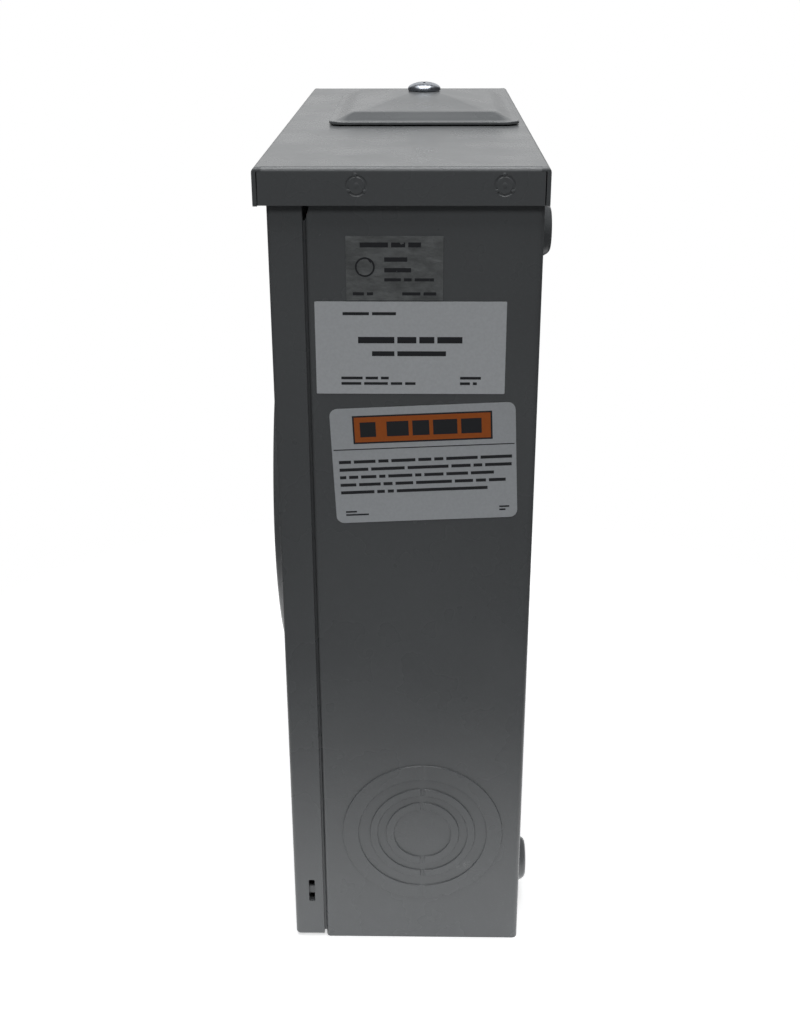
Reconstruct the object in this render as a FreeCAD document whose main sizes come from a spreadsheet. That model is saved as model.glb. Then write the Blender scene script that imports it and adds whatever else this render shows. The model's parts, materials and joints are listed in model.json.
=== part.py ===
import FreeCAD, Part
import Sketcher
import math
import os
import re

# Ringless meter socket enclosure. Millimetres. +Z up, the cover faces -Y, the wall is at +Y.
# The origin is at the middle of the base, on the surface that the enclosure stands on.

os.makedirs("parts", exist_ok=True)
doc = FreeCAD.newDocument("meter_socket_enclosure")
Vector = FreeCAD.Vector

DIMENSIONS = {
    # how far cutters and joined pieces run past a face, and sink into one
    "lap": 1.0,
    "bite": 0.2,
    # case: one bent sheet makes the back and both sides
    "sheet": 1.5,
    "case_half": 150.2,
    "case_rear": 55.5,
    "case_top": 366.9,
    "wall_front": -37.1,
    "joggle": 1.9,
    "lip_front": -50.0,
    "lip_low": 4.0,
    "lip_high": 356.0,
    "back_bend": 2.5,
    "seam_bend": 1.2,
    # round pads pressed out of the back, with the mounting holes
    "pad_across": 114.3,
    "pad_low": 20.3,
    "pad_high": 337.8,
    "pad_base": 12.7,
    "pad_tip": 9.0,
    "pad_depth": 5.5,
    "mount_hole": 4.0,
    # concentric knockouts, by trade size
    "knockout_y": 9.3,
    "knockout_z": 61.5,
    "ring_rise": 0.6,
    "ring_a": 37.4,
    "ring_b": 30.1,
    "ring_c": 24.6,
    "ring_d": 21.1,
    "ring_e": 17.1,
    "ring_f": 13.4,
    "tie": 3.0,
    "base_knockout_x": 92.0,
    # bottom panel
    "side_flange": 16.0,
    "rear_flange": 9.0,
    # top hood
    "hood_half": 152.4,
    "hood_front": -56.9,
    "hood_rear": 57.1,
    "hood_top": 368.5,
    "hood_sheet": 1.6,
    "hood_skirt": 15.0,
    "clinch_front": -17.0,
    "clinch_rear": 39.6,
    "clinch_z": 361.6,
    "clinch_outer": 4.4,
    "clinch_inner": 2.9,
    "clinch_sink": 0.5,
    # closing plate over the hub opening
    "hub_x": -34.5,
    "hub_y": 8.6,
    "plate_long": 63.5,
    "plate_wide": 44.5,
    "plate_sheet": 1.2,
    "plate_lip": 2.5,
    "plate_bevel": 8.4,
    "plate_step": 3.5,
    "plate_crown": 4.5,
    "crown_flat": 10.0,
    "plate_corner": 7.0,
    "gasket": 0.8,
    "gasket_inset": 2.0,
    "hub_long": 52.0,
    "hub_wide": 32.0,
    "hub_corner": 16.0,
    "hub_screw": 3.9,
    "hub_head": 8.2,
    "hub_head_rise": 5.2,
    "hub_screw_low": 352.0,
    "clamp_half": 39.0,
    "clamp_width": 10.0,
    "clamp_thick": 3.0,
    # front cover
    "cover_face": -52.1,
    "cover_back": -38.3,
    "cover_low": 0.6,
    "cover_high": 363.5,
    "cover_bend": 2.0,
    "meter_z": 188.0,
    "meter_hole": 82.5,
    "ring_base": 103.0,
    "ring_face": 97.0,
    "ring_front": -61.0,
    "ring_return": 6.0,
    "slot_y": -43.75,
    "slot_half": 1.45,
    "slot_low": 21.1,
    "slot_high": 33.6,
    "tab_low": 24.7,
    "tab_high": 28.8,
    # seal staple, hasp and its hinge
    "staple_half": 1.25,
    "staple_foot_half": 14.0,
    "staple_stand_half": 6.0,
    "staple_inset": 0.5,
    "staple_rivet_x": 10.0,
    "staple_rivet_rise": 1.3,
    "staple_low": 14.0,
    "staple_high": 24.0,
    "staple_tip": -60.8,
    "staple_slot_half": 2.6,
    "staple_slot_gap": 1.5,
    "seal_y": -57.4,
    "seal_hole": 1.9,
    "seal_reach": 5.0,
    "hasp_y": -54.2,
    "hasp_z": 36.0,
    "hasp_pin": 1.0,
    "hasp_bore": 1.05,
    "hasp_knuckle": 1.8,
    "hasp_gap": 0.3,
    "hasp_half": 11.0,
    "hasp_low": 7.5,
    "hasp_lift": 4.5,
    "hasp_slot_half": 3.0,
    "hasp_slot_gap": 2.5,
    "hasp_shelf_gap": 0.1,
    "knuckle_gap": 0.5,
    "knuckle_end": 12.0,
    "pin_half": 12.8,
    "knuckle_half": 6.0,
    "bracket_half": 16.0,
    "bracket_low": 40.5,
    "bracket_high": 53.0,
    "bracket_sheet": 1.2,
    "rivet_x": 10.5,
    "rivet": 1.6,
    "rivet_head": 2.9,
    "rivet_rise": 1.4,
    "rivet_tail": 1.0,
    # socket: rails, blocks and jaws, mirrored about the meter's centre
    "rail_offset": 57.0,
    "rail_half": 76.0,
    "rail_crown": 34.0,
    "rail_web": 10.0,
    "rail_foot": 20.0,
    "rail_screw_inset": 12.0,
    "small_round": 0.8,
    "screw_rise": 2.6,
    "block_half": 62.0,
    "block_near": 18.0,
    "block_far": 98.0,
    "block_plate": 24.0,
    "block_pad": 12.0,
    "block_margin": 2.0,
    "block_fence": 4.0,
    "strip_x": 36.0,
    "strip_half": 12.5,
    "strip_near": 20.0,
    "strip_far": 97.0,
    "strip_face": 9.0,
    "rib_half": 2.2,
    "rib_front": -14.0,
    "jaw_near": 22.0,
    "jaw_far": 42.0,
    "jaw_gap": 1.1,
    "jaw_leaf": 2.0,
    "jaw_neck": -19.0,
    "jaw_tip": -26.0,
    "jaw_flare": 6.0,
    "horn_tip": -16.0,
    "horn_width": 3.0,
    "horn_low": 2.0,
    "horn_high": 6.0,
    "clip_front": -10.0,
    "clip_back": -2.0,
    "clip_sheet": 1.2,
    "lug_near": 63.0,
    "lug_far": 97.0,
    "lug_half": 12.5,
    "lug_front": -22.0,
    "lug_wire": 8.0,
    "lug_wire_y": -1.5,
    "lug_screw": 6.0,
    "lug_foot_near": 49.0,
    "lug_foot": 4.0,
    "lug_foot_inset": 2.0,
    "lug_bolt": 6.5,
    "lug_wire_run": 15.0,
    "lug_screw_proud": 3.0,
    "lug_screw_gap": 0.5,
    "lug_socket": 5.0,
    "bolt": 2.9,
    "bolt_head": 5.0,
    "bolt_head_rise": 4.0,
    "block_screw_x": 13.0,
    # meter rests at each side of the jaws
    "rest_x": 79.5,
    "rest_inner": 66.0,
    "rest_foot": 94.0,
    "rest_half": 20.0,
    "rest_front": -45.5,
    "rest_screw_x": 7.0,
    "rest_screw_z": 12.0,
    # neutral assembly at the left
    "neutral_x": -118.0,
    "neutral_half": 11.0,
    "neutral_shelf": 30.0,
    "neutral_low": 140.0,
    "neutral_high": 240.0,
    "neutral_bar": 4.0,
    "neutral_margin": 1.0,
    "neutral_foot": 13.0,
    "neutral_foot_hole": 8.0,
    "neutral_foot_inset": 20.0,
    "neutral_bolt_inset": 4.5,
    "neutral_lug_inset": 25.0,
    "neutral_head_rise": 3.0,
    "bonding_head_rise": 3.5,
    "driver_slot": 0.7,
    "driver_slot_deep": 1.5,
    "neutral_lug_half": 10.5,
    "neutral_lug_long": 15.0,
    "neutral_front": -1.0,
    "neutral_wire": 6.5,
    "neutral_wire_y": 16.0,
    "ground_wire": 4.5,
    # labels stuck on the right side
    "label_thick": 0.15,
    "label_tilt": 2.6,
    "listing_wide": 38.1,
    "listing_tall": 25.4,
    "listing_y": -2.6,
    "listing_z": 329.3,
    "catalogue_wide": 76.2,
    "catalogue_tall": 38.1,
    "catalogue_y": 3.7,
    "catalogue_z": 297.1,
    "notice_wide": 76.2,
    "notice_tall": 50.8,
    "notice_y": 9.5,
    "notice_z": 247.6,
}

dims = doc.addObject("Spreadsheet::Sheet", "dims")
for row, (alias, value) in enumerate(DIMENSIONS.items(), start=1):
    dims.set(f"A{row}", alias)
    dims.set(f"B{row}", str(value))
    dims.setAlias(f"B{row}", alias)
doc.recompute()


# ---------------------------------------------------------------- helpers

def bound(formula):
    """A formula in the sheet's aliases, as the document reads it."""
    def cell(match):
        word = match.group(0)
        return f"dims.{word}" if word in DIMENSIONS else word
    return re.sub(r"[a-z][a-z_]*", cell, str(formula))


def bind(thing, sizes):
    """Ties properties of an object to formulas."""
    for path, formula in sizes.items():
        thing.setExpression(path, bound(formula))


def box(label, x, y, z):
    """A block between two formulas on each axis."""
    block = doc.addObject("Part::Box", label)
    for size, axis, (low, high) in (("Length", "x", x), ("Width", "y", y), ("Height", "z", z)):
        bind(block, {size: f"({high}) - ({low})", f"Placement.Base.{axis}": low})
    return block


def across_side(sign, low, high):
    """A span at one side of the middle plane, written low to high."""
    return (low, high) if sign > 0 else (f"-({high})", f"-({low})")


TURNS = {
    "x": FreeCAD.Rotation(Vector(0, 1, 0), 90),
    "y": FreeCAD.Rotation(Vector(1, 0, 0), -90),
    "z": FreeCAD.Rotation(),
}


def along(thing, axis, centre, span):
    """Stands a round thing along an axis, between the two ends of span."""
    thing.Placement = FreeCAD.Placement(Vector(), TURNS[axis])
    others = [name for name in "xyz" if name != axis]
    bind(thing, {"Height": f"({span[1]}) - ({span[0]})", f"Placement.Base.{axis}": span[0]})
    for other, formula in zip(others, centre):
        bind(thing, {f"Placement.Base.{other}": formula})
    return thing


def rod(label, radius, axis, centre, span):
    """A cylinder; centre holds the two coordinates across the axis, in x, y, z order."""
    thing = doc.addObject("Part::Cylinder", label)
    bind(thing, {"Radius": radius})
    return along(thing, axis, centre, span)


def cone(label, first, last, axis, centre, span):
    """A cone from the first radius at the low end of span to the last at its high end."""
    thing = doc.addObject("Part::Cone", label)
    bind(thing, {"Radius1": first, "Radius2": last})
    return along(thing, axis, centre, span)


def join(label, *pieces):
    whole = doc.addObject("Part::MultiFuse", label)
    whole.Shapes = list(pieces)
    whole.Refine = True
    return whole


def carve(label, base, *tools):
    cut = doc.addObject("Part::Cut", label)
    cut.Base = base
    cut.Tool = tools[0] if len(tools) == 1 else join(f"{label}_cuts", *tools)
    cut.Refine = True
    return cut


def group(label, pieces):
    """Separate solids that share one node."""
    bundle = doc.addObject("Part::Compound", label)
    bundle.Links = list(pieces)
    return bundle


def mirrored(label, source, axis, at="0"):
    """The twin of a piece across a plane normal to an axis."""
    twin = doc.addObject("Part::Mirroring", label)
    twin.Source = source
    twin.Normal = Vector(*(1.0 if name == axis else 0.0 for name in "xyz"))
    bind(twin, {f"Base.{axis}": at})
    return twin


def rounded_plate(label, x, y, z, corner):
    """A plate with its four upright edges rounded."""
    return round_edges(label, box(f"{label}_blank", x, y, z), corner,
                       lambda edge: upright(edge))


def upright(edge):
    return abs(edge.tangentAt(edge.FirstParameter).z) > 0.999


def round_edges(label, base, radius, wanted):
    """Fillets the straight edges of a piece that a test picks out."""
    doc.recompute()
    fillet = doc.addObject("Part::Fillet", label)
    fillet.Base = base
    size = dims.get(radius)
    fillet.Edges = [(number, size, size) for number, edge in enumerate(base.Shape.Edges, start=1)
                    if edge.Curve.TypeId == "Part::GeomLine" and wanted(edge)]
    return fillet


SKETCH_NORMALS = {"XY_Plane": Vector(0, 0, 1), "YZ_Plane": Vector(1, 0, 0)}


def profile(label, plane, points, span, rounds=()):
    """A body padded from an outline on the XY or YZ plane, with some of its corners rounded."""
    body = doc.addObject("PartDesign::Body", label)
    sketch = body.newObject("Sketcher::SketchObject", f"{label}_outline")
    origin_plane = next(item for item in body.Origin.OriginFeatures if item.Role == plane)
    sketch.AttachmentSupport = [(origin_plane, "")]
    sketch.MapMode = "FlatFace"
    bind(sketch, {"AttachmentOffset.Base.z": span[0]})
    count = len(points)
    start = [Vector(math.cos(math.tau * i / count), math.sin(math.tau * i / count), 0) * 100
             for i in range(count)]
    for i in range(count):
        sketch.addGeometry(Part.LineSegment(start[i], start[(i + 1) % count]), False)
    for i in range(count):
        sketch.addConstraint(Sketcher.Constraint("Coincident", i, 2, (i + 1) % count, 1))
    for i, (across, up) in enumerate(points):
        for kind, name, value, formula in (("DistanceX", "across", start[i].x, across),
                                           ("DistanceY", "up", start[i].y, up)):
            number = sketch.addConstraint(Sketcher.Constraint(kind, -1, 1, i, 1, value))
            sketch.renameConstraint(number, f"{name}_{i}")
            bind(sketch, {f"Constraints.{name}_{i}": formula})
    pad = body.newObject("PartDesign::Pad", f"{label}_pad")
    pad.Profile = sketch
    bind(pad, {"Length": f"({span[1]}) - ({span[0]})"})
    doc.recompute()
    normal = SKETCH_NORMALS[plane]
    for radius, corners in rounds:
        spots = [sketch.Placement.multVec(sketch.getPoint(i, 1)) for i in corners]
        tip = body.Tip
        names = []
        for number, edge in enumerate(tip.Shape.Edges, start=1):
            if edge.Curve.TypeId != "Part::GeomLine":
                continue
            if abs(edge.tangentAt(edge.FirstParameter).dot(normal)) < 0.999:
                continue
            middle = edge.CenterOfMass
            if any((middle - spot).cross(normal).Length < 1e-4 for spot in spots):
                names.append(f"Edge{number}")
        fillet = body.newObject("PartDesign::Fillet", f"{label}_round")
        fillet.Base = (tip, names)
        bind(fillet, {"Radius": radius})
        doc.recompute()
    return body


def ring(label, outer, inner, axis, centre, span):
    """A flat annulus."""
    return carve(label, rod(f"{label}_disc", outer, axis, centre, span),
                 rod(f"{label}_eye", inner, axis, centre, span))


def knockout_rings(label, axis, centre, span, pairs):
    """Raised annuli of a concentric knockout, each broken by ties above and below."""
    rings = [ring(f"{label}_{outer}", outer, inner, axis, centre, span) for outer, inner in pairs]
    reach = f"{pairs[0][0]} + lap"
    if axis == "x":
        tie = box(f"{label}_tie", span, (f"{centre[0]} - tie/2", f"{centre[0]} + tie/2"),
                  (f"{centre[1]} - {reach}", f"{centre[1]} + {reach}"))
    else:
        tie = box(f"{label}_tie", (f"{centre[0]} - tie/2", f"{centre[0]} + tie/2"),
                  (f"{centre[1]} - ({reach})", f"{centre[1]} + {reach}"), span)
    return [carve(f"{label}_broken_{number}", one, tie) for number, one in enumerate(rings)]


KNOCKOUT_PAIRS = (("ring_a", "ring_b"), ("ring_c", "ring_d"), ("ring_e", "ring_f"))
SIDES = (("left", -1), ("right", 1))
parts = {}


def keep(thing):
    """Files a finished sub-part under its label."""
    parts[thing.Label] = thing
    return thing


# ---------------------------------------------------------------- case

def make_case_shell():
    lip = "(case_half - joggle)"
    right = [("case_half", "case_rear"), ("case_half", "wall_front"), (lip, "wall_front"),
             (lip, "lip_front"), (f"{lip} - sheet", "lip_front"),
             (f"{lip} - sheet", "wall_front + sheet"), ("case_half - sheet", "wall_front + sheet"),
             ("case_half - sheet", "case_rear - sheet")]
    left = [(f"-({across})", back) for across, back in reversed(right)]
    wrapper = profile("case_wrapper", "XY_Plane", right + left, ("0", "case_top"),
                      rounds=(("back_bend", (0, 15)), ("seam_bend", (1, 14))))
    pads, hollows, holes = [], [], []
    for side, sign in SIDES:
        for level in ("low", "high"):
            centre = (f"{sign}*pad_across", f"pad_{level}")
            name = f"{side}_{level}"
            pads.append(cone(f"pad_{name}", "pad_base", "pad_tip", "y", centre,
                             ("case_rear", "case_rear + pad_depth")))
            hollows.append(cone(f"pad_hollow_{name}", "pad_base - sheet", "pad_tip - sheet", "y", centre,
                                ("case_rear - sheet", "case_rear + pad_depth - sheet")))
            holes.append(rod(f"pad_hole_{name}", "mount_hole", "y", centre,
                             ("case_rear - sheet - lap", "case_rear + pad_depth + lap")))
    rings = []
    for side, sign in SIDES:
        span = ("case_half - bite", "case_half + ring_rise") if sign > 0 else \
            ("-case_half - ring_rise", "-case_half + bite")
        rings += knockout_rings(f"side_knockout_{side}", "x", ("knockout_y", "knockout_z"), span,
                                KNOCKOUT_PAIRS)
    notches = []
    for side, sign in SIDES:
        across = (f"({lip}) - sheet - lap", f"({lip}) + bite") if sign > 0 else \
            (f"-({lip}) - bite", f"-({lip}) + sheet + lap")
        notches.append(box(f"lip_foot_{side}", across, ("lip_front - lap", "wall_front"), ("-lap", "lip_low")))
        notches.append(box(f"lip_head_{side}", across, ("lip_front - lap", "wall_front + sheet + lap"),
                           ("lip_high", "case_top + lap")))
        window = (("slot_low", "tab_low"), ("tab_high", "slot_high"))
        for number, span in enumerate(window):
            notches.append(box(f"lip_window_{side}_{number}", across,
                               ("slot_y - slot_half", "slot_y + slot_half"), span))
    whole = join("case_raised", wrapper, *pads, *rings)
    return carve("case_shell", whole, *hollows, *holes, *notches)


def make_bottom_panel():
    inside = "case_half - sheet"
    lip = "case_half - joggle"
    floor = box("floor_plate", (f"-({inside})", inside), ("wall_front + sheet", "case_rear - sheet"),
                ("0", "sheet"))
    web = box("floor_web", (f"-({lip} - sheet)", f"{lip} - sheet"), ("wall_front", "wall_front + sheet"),
              ("0", "lip_low"))
    front = box("floor_lip", (f"-({lip})", lip), ("lip_front", "wall_front"), ("lip_low - sheet", "lip_low"))
    flanges = [box("floor_flange_left", (f"-({inside})", f"-({inside}) + sheet"),
                   ("wall_front + sheet", "case_rear - sheet"), ("sheet", "side_flange")),
               box("floor_flange_right", (f"{inside} - sheet", inside),
                   ("wall_front + sheet", "case_rear - sheet"), ("sheet", "side_flange")),
               box("floor_flange_rear", (f"-({inside})", inside),
                   ("case_rear - 2*sheet", "case_rear - sheet"), ("sheet", "rear_flange"))]
    rise = ("sheet - bite", "sheet + ring_rise")
    rings = knockout_rings("base_knockout_middle", "z", ("0", "knockout_y"), rise, KNOCKOUT_PAIRS)
    for side, sign in SIDES:
        rings += knockout_rings(f"base_knockout_{side}", "z", (f"{sign}*base_knockout_x", "knockout_y"),
                                rise, KNOCKOUT_PAIRS[1:])
    return join("bottom_panel", floor, web, front, *flanges, *rings)


def make_top_hood():
    outside = box("hood_outside", ("-hood_half", "hood_half"), ("hood_front", "hood_rear"),
                  ("hood_top - hood_skirt", "hood_top"))
    rounded = round_edges("hood_rounded", outside, "hood_sheet",
                          lambda edge: edge.CenterOfMass.z > dims.get("hood_top") - 0.01)
    inside = box("hood_inside", ("-hood_half + hood_sheet", "hood_half - hood_sheet"),
                 ("hood_front + hood_sheet", "hood_rear - hood_sheet"),
                 ("hood_top - hood_skirt - lap", "hood_top - hood_sheet"))
    opening = rounded_plate("hub_opening", ("hub_x - hub_long", "hub_x + hub_long"),
                            ("hub_y - hub_wide", "hub_y + hub_wide"),
                            ("hood_top - hood_sheet - lap", "hood_top + lap"),
                            "hub_corner")
    pits = []
    for side, sign in SIDES:
        span = ("hood_half - clinch_sink", "hood_half + lap") if sign > 0 else \
            ("-hood_half - lap", "-hood_half + clinch_sink")
        for place in ("front", "rear"):
            pits.append(ring(f"clinch_{side}_{place}", "clinch_outer", "clinch_inner", "x",
                             (f"clinch_{place}", "clinch_z"), span))
    return carve("top_hood", rounded, inside, opening, *pits)


# ---------------------------------------------------------------- hub closing plate

def frustum(label, low, high, floor, ceiling):
    """A four-sided frustum over the hub: half sizes (x, y) at its floor and at its ceiling."""
    wedge = doc.addObject("Part::Wedge", label)
    wedge.Placement = FreeCAD.Placement(Vector(), FreeCAD.Rotation(Vector(1, 0, 0), 90))
    bind(wedge, {
        "Xmin": f"-({low[0]})", "Xmax": low[0], "X2min": f"-({high[0]})", "X2max": high[0],
        "Zmin": f"-({low[1]})", "Zmax": low[1], "Z2min": f"-({high[1]})", "Z2max": high[1],
        "Ymin": "0", "Ymax": f"({ceiling}) - ({floor})",
        "Placement.Base.x": "hub_x", "Placement.Base.y": "hub_y", "Placement.Base.z": floor,
    })
    return wedge


def crowned(label, drop, shrink):
    """The raised middle of the closing plate: a bevelled step with a low crown on it."""
    foot = f"hood_top + gasket + {drop}"
    knee = f"{foot} + plate_step"
    peak = f"{knee} + plate_crown"
    outer = (f"plate_long - plate_lip - {shrink}", f"plate_wide - plate_lip - {shrink}")
    inner = (f"{outer[0]} - plate_bevel", f"{outer[1]} - plate_bevel")
    return join(label, frustum(f"{label}_step", outer, inner, foot, knee),
                frustum(f"{label}_crown", inner, ("crown_flat", "crown_flat"), knee, peak))


def make_hub_plate():
    reach_x = ("hub_x - plate_long", "hub_x + plate_long")
    reach_y = ("hub_y - plate_wide", "hub_y + plate_wide")
    lip = rounded_plate("plate_lip_sheet", reach_x, reach_y,
                        ("hood_top + gasket", "hood_top + gasket + plate_sheet"), "plate_corner")
    hollow = crowned("plate_hollow", "0", "plate_sheet")
    centre = ("hub_x", "hub_y")
    seat = "hood_top + gasket + plate_sheet + plate_step + plate_crown"
    hole = rod("plate_hole", "hub_screw", "z", centre, ("hood_top", f"{seat} + lap"))
    dome = crowned("plate_dome", "plate_sheet", "0")
    keep(carve("hub_closing_plate", join("plate_solid", lip, dome), hollow, hole))
    long, wide = "plate_long - gasket_inset", "plate_wide - gasket_inset"
    seal = rounded_plate("gasket_sheet", (f"hub_x - ({long})", f"hub_x + {long}"),
                         (f"hub_y - ({wide})", f"hub_y + {wide}"),
                         ("hood_top", "hood_top + gasket"), "plate_corner")
    window = rounded_plate("gasket_window", ("hub_x - hub_long", "hub_x + hub_long"),
                           ("hub_y - hub_wide", "hub_y + hub_wide"),
                           ("hood_top - lap", "hood_top + gasket + lap"),
                           "hub_corner")
    keep(carve("hub_plate_gasket", seal, window))
    under = "hood_top - hood_sheet"
    bar = box("clamp_bar_blank", ("hub_x - clamp_width", "hub_x + clamp_width"),
              ("hub_y - clamp_half", "hub_y + clamp_half"), (f"{under} - clamp_thick", under))
    bar_hole = rod("clamp_bar_hole", "hub_screw", "z", centre,
                   (f"{under} - clamp_thick - lap", f"{under} + lap"))
    keep(carve("hub_clamp_bar", bar, bar_hole))
    shank = rod("hub_shank", "hub_screw", "z", centre, ("hub_screw_low", f"{seat} + lap"))
    skirt = rod("hub_head_skirt", "hub_head", "z", centre, (seat, f"{seat} + lap"))
    dome_high = cone("hub_head_dome", "hub_head", "hub_head*0.62", "z", centre,
                     (f"{seat} + lap", f"{seat} + hub_head_rise*0.7"))
    dome_top = cone("hub_head_top", "hub_head*0.62", "hub_head*0.25", "z", centre,
                    (f"{seat} + hub_head_rise*0.7", f"{seat} + hub_head_rise"))
    keep(join("hub_plate_screw", shank, skirt, dome_high, dome_top))


# ---------------------------------------------------------------- cover, staple and hasp

def make_front_cover():
    outside = box("cover_outside", ("-case_half", "case_half"), ("cover_face", "cover_back"),
                  ("cover_low", "cover_high"))
    face = dims.get("cover_face")

    def on_face_edge(edge):
        middle = edge.CenterOfMass
        return abs(middle.y - face) < 0.01 or (abs(edge.tangentAt(edge.FirstParameter).y) > 0.999)
    rounded = round_edges("cover_rounded", outside, "cover_bend", on_face_edge)
    inside = box("cover_inside", ("-case_half + sheet", "case_half - sheet"),
                 ("cover_face + sheet", "cover_back + lap"), ("cover_low + sheet", "cover_high - sheet"))
    centre = ("0", "meter_z")
    pan = carve("cover_pan", rounded, inside)
    raised = cone("cover_ring", "ring_face", "ring_base", "y", centre, ("ring_front", "cover_face"))
    hollow = cone("cover_ring_hollow", "ring_face - sheet", "ring_base - sheet", "y", centre,
                  ("ring_front + sheet", "cover_face + sheet"))
    web = carve("cover_web", join("cover_raised", pan, raised), hollow)
    lip = rod("meter_lip", "meter_hole + sheet", "y", centre, ("ring_front", "ring_front + ring_return"))
    hole = rod("meter_opening", "meter_hole", "y", centre, ("ring_front - lap", "cover_back"))
    cuts = [hole,
            box("staple_slot", ("-staple_slot_half", "staple_slot_half"),
                ("cover_face - lap", "cover_face + sheet + lap"),
                ("staple_low - staple_slot_gap", "staple_high + staple_slot_gap"))]
    for side, sign in SIDES:
        across = ("case_half - sheet - bite", "case_half + lap") if sign > 0 else \
            ("-case_half - lap", "-case_half + sheet + bite")
        cuts.append(box(f"cover_side_slot_{side}", across, ("slot_y - slot_half", "slot_y + slot_half"),
                        ("slot_low", "slot_high")))
        cuts.append(rod(f"cover_rivet_hole_{side}", "rivet", "y",
                        (f"{sign}*rivet_x", "(bracket_low + bracket_high)/2"),
                        ("cover_face - lap", "cover_face + sheet + lap")))
    return carve("front_cover", join("cover_sheet", web, lip), *cuts)


def rivet(label, centre, axis, head, grip, sign):
    """A rivet: a shank across its grip, a low head at one end and a set tail at the other."""
    low, high = grip
    shank = rod(f"{label}_shank", "rivet", axis, centre, grip)
    if sign > 0:
        head_cone = cone(f"{label}_head", "rivet_head", "rivet", axis, centre, (high, f"{high} + {head}"))
        tail = rod(f"{label}_tail", "rivet_head*0.8", axis, centre, (f"{low} - rivet_tail", low))
    else:
        head_cone = cone(f"{label}_head", "rivet", "rivet_head", axis, centre, (f"{low} - {head}", low))
        tail = rod(f"{label}_tail", "rivet_head*0.8", axis, centre, (high, f"{high} + rivet_tail"))
    return join(label, shank, head_cone, tail)


def make_staple():
    foot = box("staple_foot", ("-staple_foot_half", "staple_foot_half"),
               ("lip_front + staple_inset", "wall_front"),
               ("lip_low", "lip_low + sheet"))
    stand = box("staple_stand", ("-staple_stand_half", "staple_stand_half"),
                ("lip_front + staple_inset", "lip_front + staple_inset + sheet"),
                ("lip_low", "staple_high"))
    tongue = box("staple_tongue", ("-staple_half", "staple_half"),
                 ("staple_tip", "lip_front + staple_inset + sheet"),
                 ("staple_low", "staple_high"))
    seal = rod("staple_seal_hole", "seal_hole", "x", ("seal_y", "(staple_low + staple_high)/2"),
               ("-seal_reach", "seal_reach"))
    centre_y = "(lip_front + wall_front)/2"
    holes = [rod(f"staple_rivet_hole_{side}", "rivet", "z", (f"{sign}*staple_rivet_x", centre_y),
                 ("lip_low - lap", "lip_low + sheet + lap")) for side, sign in SIDES]
    keep(carve("seal_staple", join("staple_solid", foot, stand, tongue), seal, *holes))
    rivets = []
    for side, sign in SIDES:
        shank = rod(f"staple_rivet_shank_{side}", "rivet", "z", (f"{sign}*staple_rivet_x", centre_y),
                    ("lip_low", "lip_low + sheet"))
        head = cone(f"staple_rivet_head_{side}", "rivet_head", "rivet", "z",
                    (f"{sign}*staple_rivet_x", centre_y),
                    ("lip_low + sheet", "lip_low + sheet + staple_rivet_rise"))
        rivets.append(join(f"staple_rivet_{side}", shank, head))
    keep(group("staple_rivets", rivets))


def make_hasp():
    pivot = ("hasp_y", "hasp_z")
    strap_back = "cover_face - hasp_gap"
    strap = box("hasp_strap", ("-hasp_half", "hasp_half"), (f"{strap_back} - sheet", strap_back),
                ("hasp_low", "hasp_z - hasp_knuckle - knuckle_gap"))
    neck = box("hasp_neck", ("-knuckle_half", "knuckle_half"), (f"{strap_back} - sheet", strap_back),
               ("hasp_z - hasp_knuckle - lap", "hasp_z"))
    barrel = rod("hasp_barrel", "hasp_knuckle", "x", pivot, ("-knuckle_half", "knuckle_half"))
    shelf = box("hasp_shelf", ("-hasp_half", "hasp_half"), ("staple_tip - hasp_shelf_gap", strap_back),
                ("hasp_low", "hasp_low + sheet"))
    lift = box("hasp_lift", ("-hasp_half", "hasp_half"), ("staple_tip - hasp_shelf_gap", "staple_tip + sheet"),
               ("hasp_low", "hasp_low + hasp_lift"))
    slot = box("hasp_slot", ("-hasp_slot_half", "hasp_slot_half"),
               (f"{strap_back} - sheet - lap", f"{strap_back} + bite"),
               ("staple_low - hasp_slot_gap", "staple_high + hasp_slot_gap"))
    bore = rod("hasp_bore_hole", "hasp_bore", "x", pivot, ("-knuckle_half - lap", "knuckle_half + lap"))
    keep(carve("hasp_plate", join("hasp_solid", strap, neck, barrel, shelf, lift), slot, bore))
    plate = box("bracket_plate", ("-bracket_half", "bracket_half"),
                ("cover_face - bracket_sheet", "cover_face"), ("bracket_low", "bracket_high"))
    ears, cuts = [plate], []
    for side, sign in SIDES:
        across = across_side(sign, "knuckle_half + hasp_gap", "knuckle_end")
        ears.append(rod(f"bracket_knuckle_{side}", "hasp_knuckle", "x", pivot, across))
        ears.append(box(f"bracket_leaf_{side}", across, ("cover_face - bracket_sheet - bite", strap_back),
                        ("hasp_z", "bracket_low + lap")))
        cuts.append(rod(f"bracket_bore_{side}", "hasp_pin", "x", pivot, across))
        cuts.append(rod(f"bracket_rivet_hole_{side}", "rivet", "y",
                        (f"{sign}*rivet_x", "(bracket_low + bracket_high)/2"),
                        ("cover_face - bracket_sheet - lap", "cover_face + lap")))
    keep(carve("hasp_bracket", join("bracket_solid", *ears), *cuts))
    keep(rod("hasp_hinge_pin", "hasp_pin", "x", pivot, ("-pin_half", "pin_half")))
    grip = ("cover_face - bracket_sheet", "cover_face + sheet")
    keep(group("hasp_rivets", [
        rivet(f"hasp_rivet_{side}", (f"{sign}*rivet_x", "(bracket_low + bracket_high)/2"), "y",
              "rivet_rise", grip, -1) for side, sign in SIDES]))


# ---------------------------------------------------------------- socket

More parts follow.
